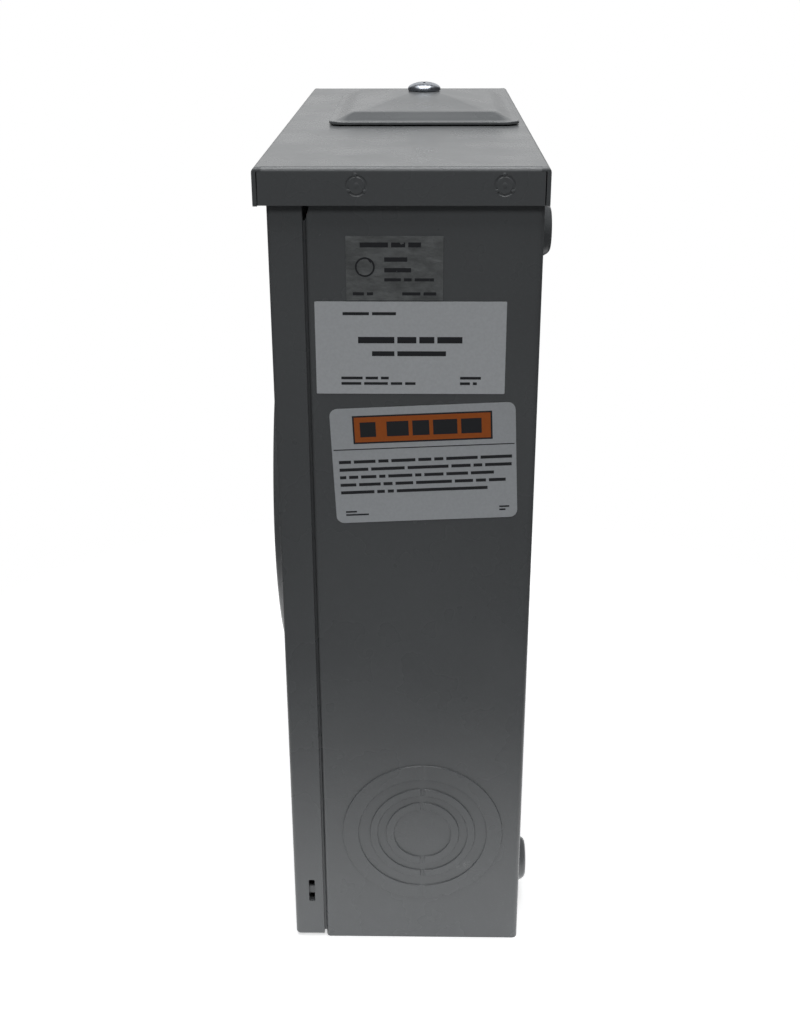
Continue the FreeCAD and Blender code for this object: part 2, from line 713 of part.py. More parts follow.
def make_rails():
    rear = "case_rear - sheet"
    half = [("rail_crown", "-rail_web"), (f"{rear} - sheet", "-rail_web"),
            (f"{rear} - sheet", "-rail_foot"), (rear, "-rail_foot"), (rear, "-rail_web + sheet"),
            ("rail_crown + sheet", "-rail_web + sheet")]
    for label, sign in (("upper_rail", 1), ("lower_rail", -1)):
        level = f"meter_z + ({sign}*rail_offset)"
        outline = [(depth, f"{level} + ({height})") for depth, height in half]
        outline += [(depth, f"{level} - ({height})") for depth, height in reversed(half)]
        hat = profile(f"{label}_hat", "YZ_Plane", outline, ("-rail_half", "rail_half"),
                      rounds=(("small_round", (0, 11)),))
        keep(carve(label, hat, *[
            rod(f"{label}_hole_{side}_{edge}", "bolt", "y",
                (f"{turn}*(rail_half - rail_screw_inset)", f"{level} + ({edge}*(rail_web + rail_foot)/2)"),
                (f"{rear} - sheet - lap", f"{rear} + lap")) for side, turn in SIDES for edge in (-1, 1)],
            *[rod(f"{label}_block_hole_{side}", "bolt", "y", (f"{turn}*block_screw_x", level),
                  ("rail_crown - lap", "rail_crown + sheet + lap")) for side, turn in SIDES]))
    screws = []
    for label, sign in (("upper", 1), ("lower", -1)):
        for side, turn in SIDES:
            for edge in (-1, 1):
                centre = (f"{turn}*(rail_half - rail_screw_inset)",
                          f"meter_z + ({sign}*rail_offset) + ({edge}*(rail_web + rail_foot)/2)")
                name = f"rail_screw_{label}_{side}_{'up' if edge > 0 else 'down'}"
                shank = rod(f"{name}_shank", "bolt", "y", centre, (f"{rear} - sheet", rear))
                head = cone(f"{name}_head", "bolt_head*0.6", "bolt_head*0.85", "y", centre,
                            (f"{rear} - sheet - screw_rise", f"{rear} - sheet"))
                screws.append(join(name, shank, head))
    keep(group("rail_screws", screws))


def make_line_block():
    base = box("block_base", ("-block_half", "block_half"), ("block_plate", "rail_crown"),
               ("meter_z + block_near", "meter_z + block_far"))
    solids, cuts = [base], []
    for side, sign in SIDES:
        reach = across_side(sign, "strip_x - strip_half - block_margin",
                            "strip_x + strip_half + block_margin")
        solids.append(box(f"block_pad_{side}", reach, ("block_pad", "block_plate"),
                          ("meter_z + block_near", "meter_z + block_far")))
        fence = across_side(sign, "block_half - block_fence", "block_half")
        solids.append(box(f"block_fence_{side}", fence, ("0", "block_plate"),
                          ("meter_z + block_near", "meter_z + block_far")))
        cuts.append(rod(f"block_bolt_hole_{side}", "bolt", "y",
                        (f"{sign}*strip_x", "meter_z + lug_foot_near + lug_bolt"),
                        ("block_pad - lap", "block_plate")))
        cuts.append(rod(f"block_screw_hole_{side}", "bolt", "y",
                        (f"{sign}*block_screw_x", "meter_z + rail_offset"), ("block_pad", "rail_crown + lap")))
    solids.append(box("block_rib", ("-rib_half", "rib_half"), ("rib_front", "block_plate"),
                      ("meter_z + block_near", "meter_z + block_far")))
    moulding = carve("block_moulding", join("block_solid", *solids), *cuts)
    return round_edges("line_block", moulding, "sheet", lambda edge: abs(
        abs(edge.CenterOfMass.x) - dims.get("block_half")) < 0.01 and abs(edge.tangentAt(0).z) > 0.999)


def make_jaw():
    """The right-hand line jaw: strip, two sprung leaves with a flared mouth, and a bypass horn."""
    strip = box("jaw_strip", ("strip_x - strip_half", "strip_x + strip_half"), ("strip_face", "block_pad"),
                ("meter_z + strip_near", "meter_z + strip_far"))
    leaves = []
    for side, sign in SIDES:
        near, far = f"strip_x + {sign}*jaw_gap", f"strip_x + {sign}*(jaw_gap + jaw_leaf)"
        mouth = f"strip_x + {sign}*jaw_flare"
        outline = [(near, "strip_face"), (near, "jaw_neck"), (f"{mouth} - {sign}*jaw_leaf*0.7", "jaw_tip"),
                   (mouth, "jaw_tip"), (far, "jaw_neck"), (far, "strip_face")]
        leaves.append(profile(f"jaw_leaf_{side}", "XY_Plane", outline,
                              ("meter_z + jaw_near", "meter_z + jaw_far"), rounds=(("small_round", (1, 4)),)))
    horn = box("jaw_horn_bar", ("strip_x + strip_half - horn_width", "strip_x + strip_half"),
               ("horn_tip", "strip_face"), ("meter_z + jaw_near + horn_low", "meter_z + jaw_far - horn_high"))
    hole = rod("jaw_bolt_hole", "bolt", "y", ("strip_x", "meter_z + lug_foot_near + lug_bolt"),
               ("strip_face - lap", "block_pad + lap"))
    return carve("line_jaw_right", join("jaw_solid", strip, *leaves, horn), hole)


def make_jaw_clip():
    """The sprung steel band round the right-hand line jaw's leaves."""
    reach = "jaw_gap + jaw_leaf"
    outer = rounded_plate("clip_outside",
                          (f"strip_x - ({reach}) - clip_sheet", f"strip_x + {reach} + clip_sheet"),
                          ("clip_front", "clip_back"),
                          ("meter_z + jaw_near - clip_sheet - bite", "meter_z + jaw_far + clip_sheet + bite"),
                          "gasket")
    inner = box("clip_inside", (f"strip_x - ({reach})", f"strip_x + {reach}"),
                ("clip_front - lap", "clip_back + lap"),
                ("meter_z + jaw_near - bite", "meter_z + jaw_far + bite"))
    return carve("line_jaw_clip_right", outer, inner)


def make_lug():
    """The right-hand line lug: wire bore along Z, clamping-screw hole from the front."""
    body = box("lug_body", ("strip_x - lug_half", "strip_x + lug_half"), ("lug_front", "strip_face"),
               ("meter_z + lug_near", "meter_z + lug_far"))
    crowned_body = round_edges("lug_rounded", body, "cover_bend", lambda edge: upright(edge)
                               and edge.CenterOfMass.y < 0)
    foot = box("lug_foot_tab", ("strip_x - lug_half + lug_foot_inset", "strip_x + lug_half - lug_foot_inset"),
               ("strip_face - lug_foot", "strip_face"), ("meter_z + lug_foot_near", "meter_z + lug_near + lap"))
    wire = rod("lug_wire_bore", "lug_wire", "z", ("strip_x", "lug_wire_y"),
               ("meter_z + lug_near - lug_wire_run", "meter_z + lug_far + lap"))
    screw = rod("lug_screw_bore", "lug_screw", "y", ("strip_x", "meter_z + (lug_near + lug_far)/2"),
                ("lug_front - lap", "lug_wire_y"))
    hole = rod("lug_bolt_hole", "bolt", "y", ("strip_x", "meter_z + lug_foot_near + lug_bolt"),
               ("strip_face - lug_foot - lap", "strip_face + lap"))
    return carve("line_lug_right", join("lug_solid", crowned_body, foot), wire, screw, hole)


def make_lug_screw():
    """The right-hand line lug's clamping screw, backed out clear of the wire bore, with a hex socket."""
    centre = ("strip_x", "meter_z + (lug_near + lug_far)/2")
    back = "lug_wire_y - lug_wire - lug_screw_gap"
    shank = rod("lug_screw_shank", "lug_screw", "y", centre, ("lug_front - lug_screw_proud", back))
    socket = doc.addObject("Part::Prism", "lug_screw_socket")
    socket.Polygon = 6
    socket.Placement = FreeCAD.Placement(Vector(), TURNS["y"])
    bind(socket, {"Circumradius": "lug_screw*0.6", "Height": "lug_socket + lap", "Placement.Base.x": centre[0],
                  "Placement.Base.y": "lug_front - lug_screw_proud - lap", "Placement.Base.z": centre[1]})
    return carve("line_lug_screw_right", shank, socket)


def four_of(maker, stem):
    """The right-hand line piece, its left-hand twin, and both load-side twins below the centre."""
    first = keep(maker())
    twin = keep(mirrored(f"line_{stem}_left", first, "x"))
    keep(mirrored(f"load_{stem}_right", first, "z", "meter_z"))
    keep(mirrored(f"load_{stem}_left", twin, "z", "meter_z"))


def make_socket():
    make_rails()
    line_block = keep(make_line_block())
    keep(mirrored("load_block", line_block, "z", "meter_z"))
    four_of(make_jaw, "jaw")
    four_of(make_jaw_clip, "jaw_clip")
    four_of(make_lug, "lug")
    screws = [make_lug_screw()]
    screws.append(mirrored("line_lug_screw_left", screws[0], "x"))
    screws += [mirrored(f"load_lug_screw_{side}", one, "z", "meter_z")
               for (side, _), one in zip((("right", 1), ("left", -1)), tuple(screws))]
    keep(group("lug_screws", screws))
    bolts, fixings = [], []
    for level, turn in (("line", 1), ("load", -1)):
        for side, sign in SIDES:
            centre = (f"{sign}*strip_x", f"meter_z + {turn}*(lug_foot_near + lug_bolt)")
            name = f"{level}_bolt_{side}"
            seat = "strip_face - lug_foot"
            bolts.append(join(name, rod(f"{name}_shank", "bolt", "y", centre, (seat, "block_plate")),
                              rod(f"{name}_head", "bolt_head", "y", centre,
                                  (f"{seat} - bolt_head_rise*0.7", seat))))
            centre = (f"{sign}*block_screw_x", f"meter_z + {turn}*rail_offset")
            name = f"{level}_block_screw_{side}"
            fixings.append(join(name, rod(f"{name}_shank", "bolt", "y", centre,
                                          ("block_plate", "rail_crown + sheet + lap")),
                                rod(f"{name}_head", "bolt_head", "y", centre,
                                    ("block_plate - bolt_head_rise", "block_plate"))))
    keep(group("jaw_bolts", bolts))
    keep(group("block_screws", fixings))


def make_meter_rests():
    rear = "case_rear - sheet"
    outline = [("rest_foot", rear), ("rest_x - sheet", rear), ("rest_x - sheet", "rest_front + sheet"),
               ("rest_inner", "rest_front + sheet"), ("rest_inner", "rest_front"),
               ("rest_x", "rest_front"), ("rest_x", f"{rear} - sheet"), ("rest_foot", f"{rear} - sheet")]
    right = profile("meter_rest_bent", "XY_Plane", outline,
                    ("meter_z - rest_half", "meter_z + rest_half"), rounds=(("cover_bend", (5,)),))
    holes = [rod(f"rest_hole_{name}", "bolt", "y",
                 ("rest_foot - rest_screw_x", f"meter_z + {sign}*rest_screw_z"),
                 (f"{rear} - sheet - lap", f"{rear} + lap")) for name, sign in (("up", 1), ("down", -1))]
    right = keep(carve("meter_rest_right", right, *holes))
    keep(mirrored("meter_rest_left", right, "x"))
    screws = []
    for side, sign in SIDES:
        for name, turn in (("up", 1), ("down", -1)):
            centre = (f"{sign}*(rest_foot - rest_screw_x)", f"meter_z + {turn}*rest_screw_z")
            shank = rod(f"rest_screw_{side}_{name}_shank", "bolt", "y", centre, (f"{rear} - sheet", rear))
            head = cone(f"rest_screw_{side}_{name}_head", "bolt_head*0.6", "bolt_head*0.85", "y", centre,
                        (f"{rear} - sheet - screw_rise", f"{rear} - sheet"))
            screws.append(join(f"rest_screw_{side}_{name}", shank, head))
    keep(group("rest_screws", screws))


# ---------------------------------------------------------------- neutral and ground

def make_neutral_lug(label, middle, long, wire):
    body = box(f"{label}_body", ("neutral_x - neutral_lug_half", "neutral_x + neutral_lug_half"),
               ("neutral_front", "neutral_shelf - neutral_bar"), (f"{middle} - {long}", f"{middle} + {long}"))
    eased = round_edges(f"{label}_eased", body, "cover_bend",
                        lambda edge: upright(edge) and edge.CenterOfMass.y < dims.get("neutral_wire_y"))
    bore = rod(f"{label}_bore", wire, "z", ("neutral_x", "neutral_wire_y"),
               (f"{middle} - {long} - lap", f"{middle} + {long} + lap"))
    tapped = rod(f"{label}_tapped", "lug_screw*0.8", "y", ("neutral_x", middle),
                 ("neutral_front - lap", "neutral_wire_y"))
    keep(carve(label, eased, bore, tapped))
    shank = rod(f"{label}_screw_shank", "lug_screw*0.8", "y", ("neutral_x", middle),
                ("neutral_front - lug_screw_proud", f"neutral_wire_y - {wire} - lug_screw_gap"))
    slot = box(f"{label}_screw_slot", ("neutral_x - lug_screw", "neutral_x + lug_screw"),
               ("neutral_front - lug_screw_proud - lap", "neutral_front - driver_slot_deep"),
               (f"{middle} - driver_slot", f"{middle} + driver_slot"))
    return carve(f"{label}_screw", shank, slot)


def make_neutral():
    rear = "case_rear - sheet"
    shelf = "neutral_shelf"
    outline = [("neutral_x + neutral_half + neutral_foot", rear), ("neutral_x + neutral_half", rear),
               ("neutral_x + neutral_half", f"{shelf} + sheet"),
               ("neutral_x - neutral_half", f"{shelf} + sheet"),
               ("neutral_x - neutral_half", shelf), ("neutral_x + neutral_half + sheet", shelf),
               ("neutral_x + neutral_half + sheet", f"{rear} - sheet"),
               ("neutral_x + neutral_half + neutral_foot", f"{rear} - sheet")]
    bent = profile("neutral_bracket_bent", "XY_Plane", outline, ("neutral_low", "neutral_high"),
                   rounds=(("cover_bend", (5,)),))
    levels = ("neutral_low + neutral_foot_inset", "neutral_high - neutral_foot_inset")
    foot_x = "neutral_x + neutral_half + neutral_foot_hole"
    holes = [rod(f"neutral_foot_hole_{n}", "bolt", "y", (foot_x, level),
                 (f"{rear} - sheet - lap", f"{rear} + lap"))
             for n, level in enumerate(levels)]
    bar_levels = ("neutral_low + neutral_bolt_inset", "neutral_high - neutral_bolt_inset")
    holes += [rod(f"neutral_shelf_hole_{n}", "bolt", "y", ("neutral_x", level),
                  (f"{shelf} - lap", f"{shelf} + sheet + lap")) for n, level in enumerate(bar_levels)]
    keep(carve("neutral_bracket", bent, *holes))
    bar_half = "neutral_half - neutral_margin"
    bar = box("neutral_bar_blank", (f"neutral_x - ({bar_half})", f"neutral_x + {bar_half}"),
              (f"{shelf} - neutral_bar", shelf), ("neutral_low", "neutral_high"))
    keep(carve("neutral_bar_strip", bar, *[
        rod(f"neutral_bar_hole_{n}", "bolt", "y", ("neutral_x", level),
            (f"{shelf} - neutral_bar - lap", f"{shelf} + lap")) for n, level in enumerate(bar_levels)]))
    screws = [make_neutral_lug("neutral_line_lug", "neutral_high - neutral_lug_inset",
                               "neutral_lug_long", "neutral_wire"),
              make_neutral_lug("neutral_load_lug", "neutral_low + neutral_lug_inset",
                               "neutral_lug_long", "neutral_wire"),
              make_neutral_lug("ground_lug", "(neutral_low + neutral_high)/2", "neutral_lug_long*0.55",
                               "ground_wire")]
    keep(group("neutral_lug_screws", screws))
    bolts = []
    for n, level in enumerate(bar_levels):
        shank = rod(f"neutral_bolt_shank_{n}", "bolt", "y", ("neutral_x", level),
                    (f"{shelf} - neutral_bar", f"{shelf} + 2*sheet"))
        head = rod(f"neutral_bolt_head_{n}", "bolt_head*0.8", "y", ("neutral_x", level),
                   (f"{shelf} - neutral_bar - neutral_head_rise", f"{shelf} - neutral_bar"))
        bolts.append(join(f"neutral_bolt_{n}", shank, head))
    keep(group("neutral_bolts", bolts))
    for label, level in (("bonding_screw", levels[0]), ("neutral_bracket_screw", levels[1])):
        shank = rod(f"{label}_shank", "bolt", "y", (foot_x, level), (f"{rear} - sheet", rear))
        head = rod(f"{label}_head", "bolt_head*0.8", "y", (foot_x, level),
                   (f"{rear} - sheet - bonding_head_rise", f"{rear} - sheet"))
        keep(join(label, shank, head))


# ---------------------------------------------------------------- labels

def make_label(name, tilt):
    """A thin rectangle on the right side, turned about its own centre."""
    wide, tall = f"{name}_wide/2", f"{name}_tall/2"
    sticker = box(f"{name}_label", ("case_half", "case_half + label_thick"),
                  ("0", f"{name}_wide"), ("0", f"{name}_tall"))
    sticker.Placement = FreeCAD.Placement(Vector(), FreeCAD.Rotation(Vector(1, 0, 0), 1))
    bind(sticker, {
        "Placement.Rotation.Angle": tilt,
        "Placement.Base.y": f"{name}_y - ({wide})*cos({tilt}) + ({tall})*sin({tilt})",
        "Placement.Base.z": f"{name}_z - ({wide})*sin({tilt}) - ({tall})*cos({tilt})",
    })
    return keep(sticker)


def make_labels():
    make_label("listing", "0")
    make_label("catalogue", "0")
    make_label("notice", "label_tilt")


keep(make_case_shell())
keep(make_bottom_panel())
keep(make_top_hood())
make_hub_plate()
keep(make_front_cover())
make_staple()
make_hasp()
make_socket()
make_meter_rests()
make_neutral()
make_labels()
doc.recompute()

for thing in doc.Objects:
    if {"Invalid", "Error"} & set(thing.State):
        raise SystemExit(f"{thing.Label} failed: {thing.State}")
for label, thing in parts.items():
    if thing.Shape.isNull() or not thing.Shape.isValid() or not thing.Shape.Solids:
        raise SystemExit(f"{label} has no valid shape")
    thing.Shape.exportStep(f"parts/{label}.step")
    print(f"{label}: {len(thing.Shape.Solids)} solid(s), {thing.Shape.Volume:.0f} mm3")
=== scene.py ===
import json
import math

import bmesh
import bpy
from bpy.props import FloatProperty, FloatVectorProperty, IntProperty, PointerProperty
from mathutils import Matrix, Vector


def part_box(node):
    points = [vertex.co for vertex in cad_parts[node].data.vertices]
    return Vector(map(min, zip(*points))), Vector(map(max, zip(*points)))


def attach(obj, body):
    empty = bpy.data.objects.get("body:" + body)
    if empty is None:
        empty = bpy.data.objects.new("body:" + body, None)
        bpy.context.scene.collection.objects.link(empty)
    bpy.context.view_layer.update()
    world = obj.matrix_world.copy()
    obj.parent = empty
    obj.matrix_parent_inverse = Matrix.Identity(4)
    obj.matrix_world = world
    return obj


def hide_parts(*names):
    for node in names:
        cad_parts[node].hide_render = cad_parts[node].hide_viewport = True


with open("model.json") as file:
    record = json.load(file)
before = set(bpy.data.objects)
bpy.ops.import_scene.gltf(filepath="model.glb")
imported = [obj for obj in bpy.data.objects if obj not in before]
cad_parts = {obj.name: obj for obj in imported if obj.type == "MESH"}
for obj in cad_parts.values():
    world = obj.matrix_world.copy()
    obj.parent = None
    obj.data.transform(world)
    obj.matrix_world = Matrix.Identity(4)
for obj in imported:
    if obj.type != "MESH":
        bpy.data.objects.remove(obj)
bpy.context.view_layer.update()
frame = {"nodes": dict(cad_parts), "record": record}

bl_info = {
    "name": "Meter socket enclosure",
    "version": (1, 0, 0),
    "blender": (4, 5, 0),
    "location": "3D View > Sidebar > Enclosure",
    "description": "Builds the sheet metal, fasteners, labels and finishes of a ringless meter socket",
    "category": "Object",
}

MM = 0.001
SHEET = 1.5                       # thickness of the case, cover, bottom and hasp, in millimetres
MARGIN = 1 * MM                   # how far a cutter reaches past what it cuts
REACH = 5 * MM                    # half the depth of a cutter that goes through a sheet


# ---------------------------------------------------------------- sizes and colours

def length(name, description, value, **extra):
    """A length that a user may change; value is in millimetres."""
    return FloatProperty(name=name, description=description, default=value * MM, unit="LENGTH",
                         subtype="DISTANCE", precision=5, **extra)


def colour(name, description, value):
    return FloatVectorProperty(name=name, description=description, default=value, size=3,
                               subtype="COLOR", min=0.0, max=1.0)


class SheetSizes(bpy.types.PropertyGroup):
    sheet: length("Sheet", "Thickness of the case and cover sheets", SHEET)
    hood_sheet: length("Hood sheet", "Thickness of the hood", 1.6)
    hood_bend: length("Hood bend", "Outside radius of the hood's folds", 2.1)
    hood_seam: length("Hood seam", "Open seam between the side and end skirts", 0.45)
    skirt_step: length("Skirt step", "How much shorter the side skirts are than the end skirts", 0.5)
    case_bend: length("Case bend", "Outside radius of the case's rear bends", 2.5)
    joggle_bend: length("Joggle bend", "Outside radius where the side wall turns in to the lip", 1.7)
    joggle: length("Joggle", "How far the cover lips stand in from the side walls", 1.9)
    cover_bend: length("Cover bend", "Outside radius of the cover's folds", 2.0)
    corner_relief: length("Corner relief", "Height over which the wall's front corner is cut away at its top",
                          5.0)


class KnockoutSizes(bpy.types.PropertyGroup):
    radius_a: length("Ring 1 outside", "Outer radius of the largest raised ring", 37.4)
    radius_b: length("Ring 1 inside", "Inner radius of the largest raised ring", 30.1)
    radius_c: length("Ring 2 outside", "Outer radius of the middle raised ring", 24.6)
    radius_d: length("Ring 2 inside", "Inner radius of the middle raised ring", 21.1)
    radius_e: length("Ring 3 outside", "Outer radius of the smallest raised ring", 17.1)
    radius_f: length("Ring 3 inside", "Inner radius of the smallest raised ring", 13.4)
    rise: length("Rise", "How far the rings stand out of the sheet", 0.6)
    slope: length("Slope", "Width of a ring's sloped edge", 0.3)
    tie: length("Tie", "Width of the ties that hold the discs", 1.9)
    steps: IntProperty(name="Steps", description="Divisions round a ring", default=240, min=48)


class CoverSizes(bpy.types.PropertyGroup):
    meter_height: length("Meter height", "Height of the meter's centre above the base", 188.0)
    hole: length("Hole", "Radius of the meter opening", 82.5)
    ring_face: length("Ring face", "Radius of the raised ring's flat face", 97.0)
    ring_base: length("Ring base", "Radius of the ring where it meets the cover", 103.0)
    ring_return: length("Ring return", "Depth of the lip turned back at the opening", 6.0)
    ring_round: length("Ring round", "Radius of the ring's shoulder", 3.0)


class HubPlateSizes(bpy.types.PropertyGroup):
    half_long: length("Half length", "Half of the closing plate's length across the case", 63.5)
    half_wide: length("Half width", "Half of the closing plate's width from front to back", 44.5)
    gauge: length("Gauge", "Thickness of the closing plate", 1.2)
    lip: length("Lip", "Width of the flat lip round the closing plate", 2.5)
    corner: length("Corner", "Corner radius of the closing plate", 7.0)
    bevel: length("Bevel", "Width of the plate's bevelled step", 8.4)
    step: length("Step", "Height of the plate's bevelled step", 3.5)
    crown: length("Crown", "Height of the plate's crown over the step", 4.5)
    head: length("Head", "Radius of the closing screw's head", 8.2)
    head_rise: length("Head rise", "Height of the closing screw's head", 4.1)
    hole: length("Hole", "Radius of the closing screw's shank", 3.9)


class FinishColours(bpy.types.PropertyGroup):
    enamel: colour("Enamel", "Grey enamel of the sheet metal", (0.152, 0.160, 0.166))
    enamel_light: colour("Rubbed enamel", "Enamel where it is scuffed", (0.40, 0.41, 0.41))
    zinc: colour("Zinc", "Bright zinc plate of the fasteners", (0.50, 0.53, 0.58))
    galvanised: colour("Galvanised", "Galvanised brackets and rails", (0.50, 0.52, 0.54))
    tin: colour("Tinned copper", "Jaws and their strips", (0.66, 0.64, 0.60))
    aluminium: colour("Aluminium", "Lugs and bars", (0.68, 0.69, 0.70))
    spring: colour("Spring steel", "Jaw clips", (0.20, 0.21, 0.23))
    moulding: colour("Moulding", "Insulating blocks", (0.16, 0.028, 0.020))
    rubber: colour("Rubber", "Gasket under the closing plate", (0.018, 0.018, 0.018))
    green: colour("Green screw", "Bonding screw", (0.02, 0.16, 0.045))
    foil: colour("Foil", "Metallised listing label", (0.34, 0.355, 0.36))
    paper: colour("Paper", "White label stock", (0.78, 0.81, 0.84))
    notice: colour("Notice paper", "Stock of the notice label", (0.66, 0.69, 0.72))
    panel: colour("Panel", "Orange panel of the notice label", (0.60, 0.15, 0.03))
    ink: colour("Ink", "Printed bars", (0.035, 0.037, 0.042))


class StageSettings(bpy.types.PropertyGroup):
    lens: FloatProperty(name="Lens", description="Focal length on a 36 mm sensor", default=46.48,
                        unit="CAMERA")
    distance: length("Distance", "Camera's distance in front of the right side's middle plane", 663.2)
    across: length("Across", "Camera's place between front and back", 9.2)
    height: length("Height", "Camera's height above the base", 444.9)
    pitch: FloatProperty(name="Pitch", description="How far the camera looks down", subtype="ANGLE",
                         default=math.radians(23.129))
    yaw: FloatProperty(name="Yaw", description="How far the camera is turned to the front", subtype="ANGLE",
                       default=math.radians(-1.112))
    roll: FloatProperty(name="Roll", description="Camera's roll", subtype="ANGLE",
                        default=math.radians(-0.19))
    ambient: FloatProperty(name="Ambient", description="Strength of the light from all round", default=0.06)
    backdrop: FloatProperty(name="Backdrop", description="Brightness of the plain background", default=1.0)
    overhead: FloatProperty(name="Overhead", description="Power of the soft light above", default=63.0,
                            unit="POWER")
    card: FloatProperty(name="Card", description="Power of the soft light behind the left side",
                        default=6.2, unit="POWER")
    key: FloatProperty(name="Key", description="Power of the strip light above the right side",
                       default=12.0, unit="POWER")
    floor_pool: length("Floor pool", "Radius to which the floor stays opaque", 215.0)
    floor_fade: length("Floor fade", "Radius at which the floor has faded into the background", 380.0)
    floor_colour: colour("Floor", "Pale floor", (0.93, 0.93, 0.93))
    floor_glow: FloatProperty(name="Floor glow", description="How brightly the floor is lit from below",
                              default=0.55)


class EnclosureSettings(bpy.types.PropertyGroup):
    sheet: PointerProperty(type=SheetSizes)
    knockout: PointerProperty(type=KnockoutSizes)
    cover: PointerProperty(type=CoverSizes)
    hub: PointerProperty(type=HubPlateSizes)
    finish: PointerProperty(type=FinishColours)
    stage: PointerProperty(type=StageSettings)


def settings():
    return bpy.context.scene.enclosure


# ---------------------------------------------------------------- outlines and meshes

STRAIGHT = math.radians(89.9)     # half turn of a corner that needs no arc
TIGHTEST = 0.15 * MM              # least inside radius of a fold
BIG_ROUND, ROUND, SMALL_ROUND = 192, 64, 40       # divisions round lathed pieces, by their size
SHARP = math.radians(32)          # edges that turn more than this stay sharp
AREA_WEIGHT = 50                  # how much big faces count in the normals
WELD = 1e-7                       # distances in metres within which corners are merged
ISLAND_WELD = 1e-6
CUT_WELD = 2e-6
SEAM_WELD = 5e-6


def fillet_path(points, radii, steps=6):
    """Replaces the inner corners of an open path by arcs; a radius of 0 keeps the corner."""
    path = [Vector(points[0])]
    for before, corner, after, radius in zip(points, points[1:], points[2:], radii):
        before, corner, after = Vector(before), Vector(corner), Vector(after)
        to_before, to_after = (before - corner).normalized(), (after - corner).normalized()
        half_turn = to_before.angle(to_after) / 2
        if radius <= 0 or half_turn > STRAIGHT:
            path.append(corner)
            continue
        centre = corner + (to_before + to_after).normalized() * radius / math.sin(half_turn)
        start = corner + to_before * radius / math.tan(half_turn) - centre
        end = corner + to_after * radius / math.tan(half_turn) - centre
        sweep = start.angle_signed(end)
        for step in range(steps + 1):
            turned = start.copy()
            turned.rotate(Matrix.Rotation(-sweep * step / steps, 2))
            path.append(centre + turned)
    path.append(Vector(points[-1]))
    return path


def offset_corners(points, distance):
    """Corners of the parallel path, to the left of the way that the points run."""
    points = [Vector(point) for point in points]
    ways = [(b - a).normalized() for a, b in zip(points, points[1:])]
    normals = [Vector((-way.y, way.x)) for way in ways]
    moved = [points[0] + normals[0] * distance]
    for point, first, second in zip(points[1:], normals, normals[1:]):
        middle = (first + second).normalized()
        moved.append(point + middle * distance / middle.dot(first))
    moved.append(points[-1] + normals[-1] * distance)
    return moved


def bent_sheet(points, radii, thickness, steps=6):
    """Closed outline of a bent sheet: points run along one face, the other lies to their left."""
    vectors = [Vector(point) for point in points]
    inner_radii = []
    for before, corner, after, radius in zip(vectors, vectors[1:], vectors[2:], radii):
        turn = (corner - before).cross(after - corner)
        inner_radii.append(max(radius - thickness, TIGHTEST) if turn > 0 else radius + thickness)
    face = fillet_path(points, radii, steps)
    other = fillet_path(offset_corners(points, thickness), inner_radii, steps)
    return face + other[::-1]


def mesh_object(name, bm, *materials):
    """Makes an object of a bmesh, with smooth shading up to a crease angle."""
    bmesh.ops.remove_doubles(bm, verts=bm.verts, dist=WELD)
    bmesh.ops.recalc_face_normals(bm, faces=bm.faces)
    mesh = bpy.data.meshes.new(name)
    bm.to_mesh(mesh)
    bm.free()
    thing = bpy.data.objects.new(name, mesh)
    bpy.context.collection.objects.link(thing)
    for material in materials:
        mesh.materials.append(material)
    soften(thing)
    return thing


def soften(thing):
    """Smooth shading up to the crease angle."""
    thing.data.shade_smooth()
    thing.data.set_sharp_from_angle(angle=SHARP)


def level(thing):
    """Weights the normals by face area, so that the flat faces stay flat beside fine ones."""
    step = thing.modifiers.new("normals", "WEIGHTED_NORMAL")
    step.keep_sharp, step.weight = True, AREA_WEIGHT
    settle(thing)


# axis along which an outline is extruded -> where its two coordinates and the height go
PLACES = {
    "x": lambda u, v, w: (w, u, v),
    "y": lambda u, v, w: (u, w, v),
    "z": lambda u, v, w: (u, v, w),
}


def circle(radius, steps, centre=(0, 0)):
    """Corners of a circle."""
    turns = [math.tau * i / steps for i in range(steps)]
    return [(centre[0] + radius * math.cos(turn), centre[1] + radius * math.sin(turn)) for turn in turns]


def bridge(bm, pairs):
    """Faces between pairs of closed rows of corners; a pole is one corner repeated."""
    faces = []
    for first, second in pairs:
        for corners in zip(first, first[1:] + first[:1], second[1:] + second[:1], second):
            corners = list(dict.fromkeys(corners))
            if len(corners) > 2:
                faces.append(bm.faces.new(corners))
    return faces


def prism(name, outline, axis, low, high, *materials):
    """A closed outline extruded along an axis."""
    place = PLACES[axis]
    bm = bmesh.new()
    rings = [[bm.verts.new(place(u, v, height)) for u, v in outline] for height in (low, high)]
    bridge(bm, [rings])
    bm.faces.new(rings[0][::-1])
    bm.faces.new(rings[1])
    return mesh_object(name, bm, *materials)


def block(name, low, high, *materials):
    outline = [(low[0], low[1]), (high[0], low[1]), (high[0], high[1]), (low[0], high[1])]
    return prism(name, outline, "z", low[2], high[2], *materials)


def lathe(name, section, axis, centre, steps, *materials):
    """A closed section of (radius, height) points turned about an axis through centre."""
    place, centre = PLACES[axis], Vector(centre)
    bm = bmesh.new()
    rings = []
    for radius, height in section:
        points = circle(radius, steps) if radius else [(0, 0)]
        ring = [bm.verts.new(Vector(place(u, v, height)) + centre) for u, v in points]
        rings.append(ring if radius else ring * steps)
    bridge(bm, zip(rings, rings[1:] + rings[:1]))
    return mesh_object(name, bm, *materials)


def rod(name, radius, axis, low, high, centre, steps):
    """A solid cylinder between two heights along an axis."""
    return lathe(name, [(0, low), (radius, low), (radius, high), (0, high)], axis, centre, steps)


def on_side(sign, first, second):
    """Two distances from the middle plane as places on one side, the lower one first."""
    return sorted((sign * first, sign * second))


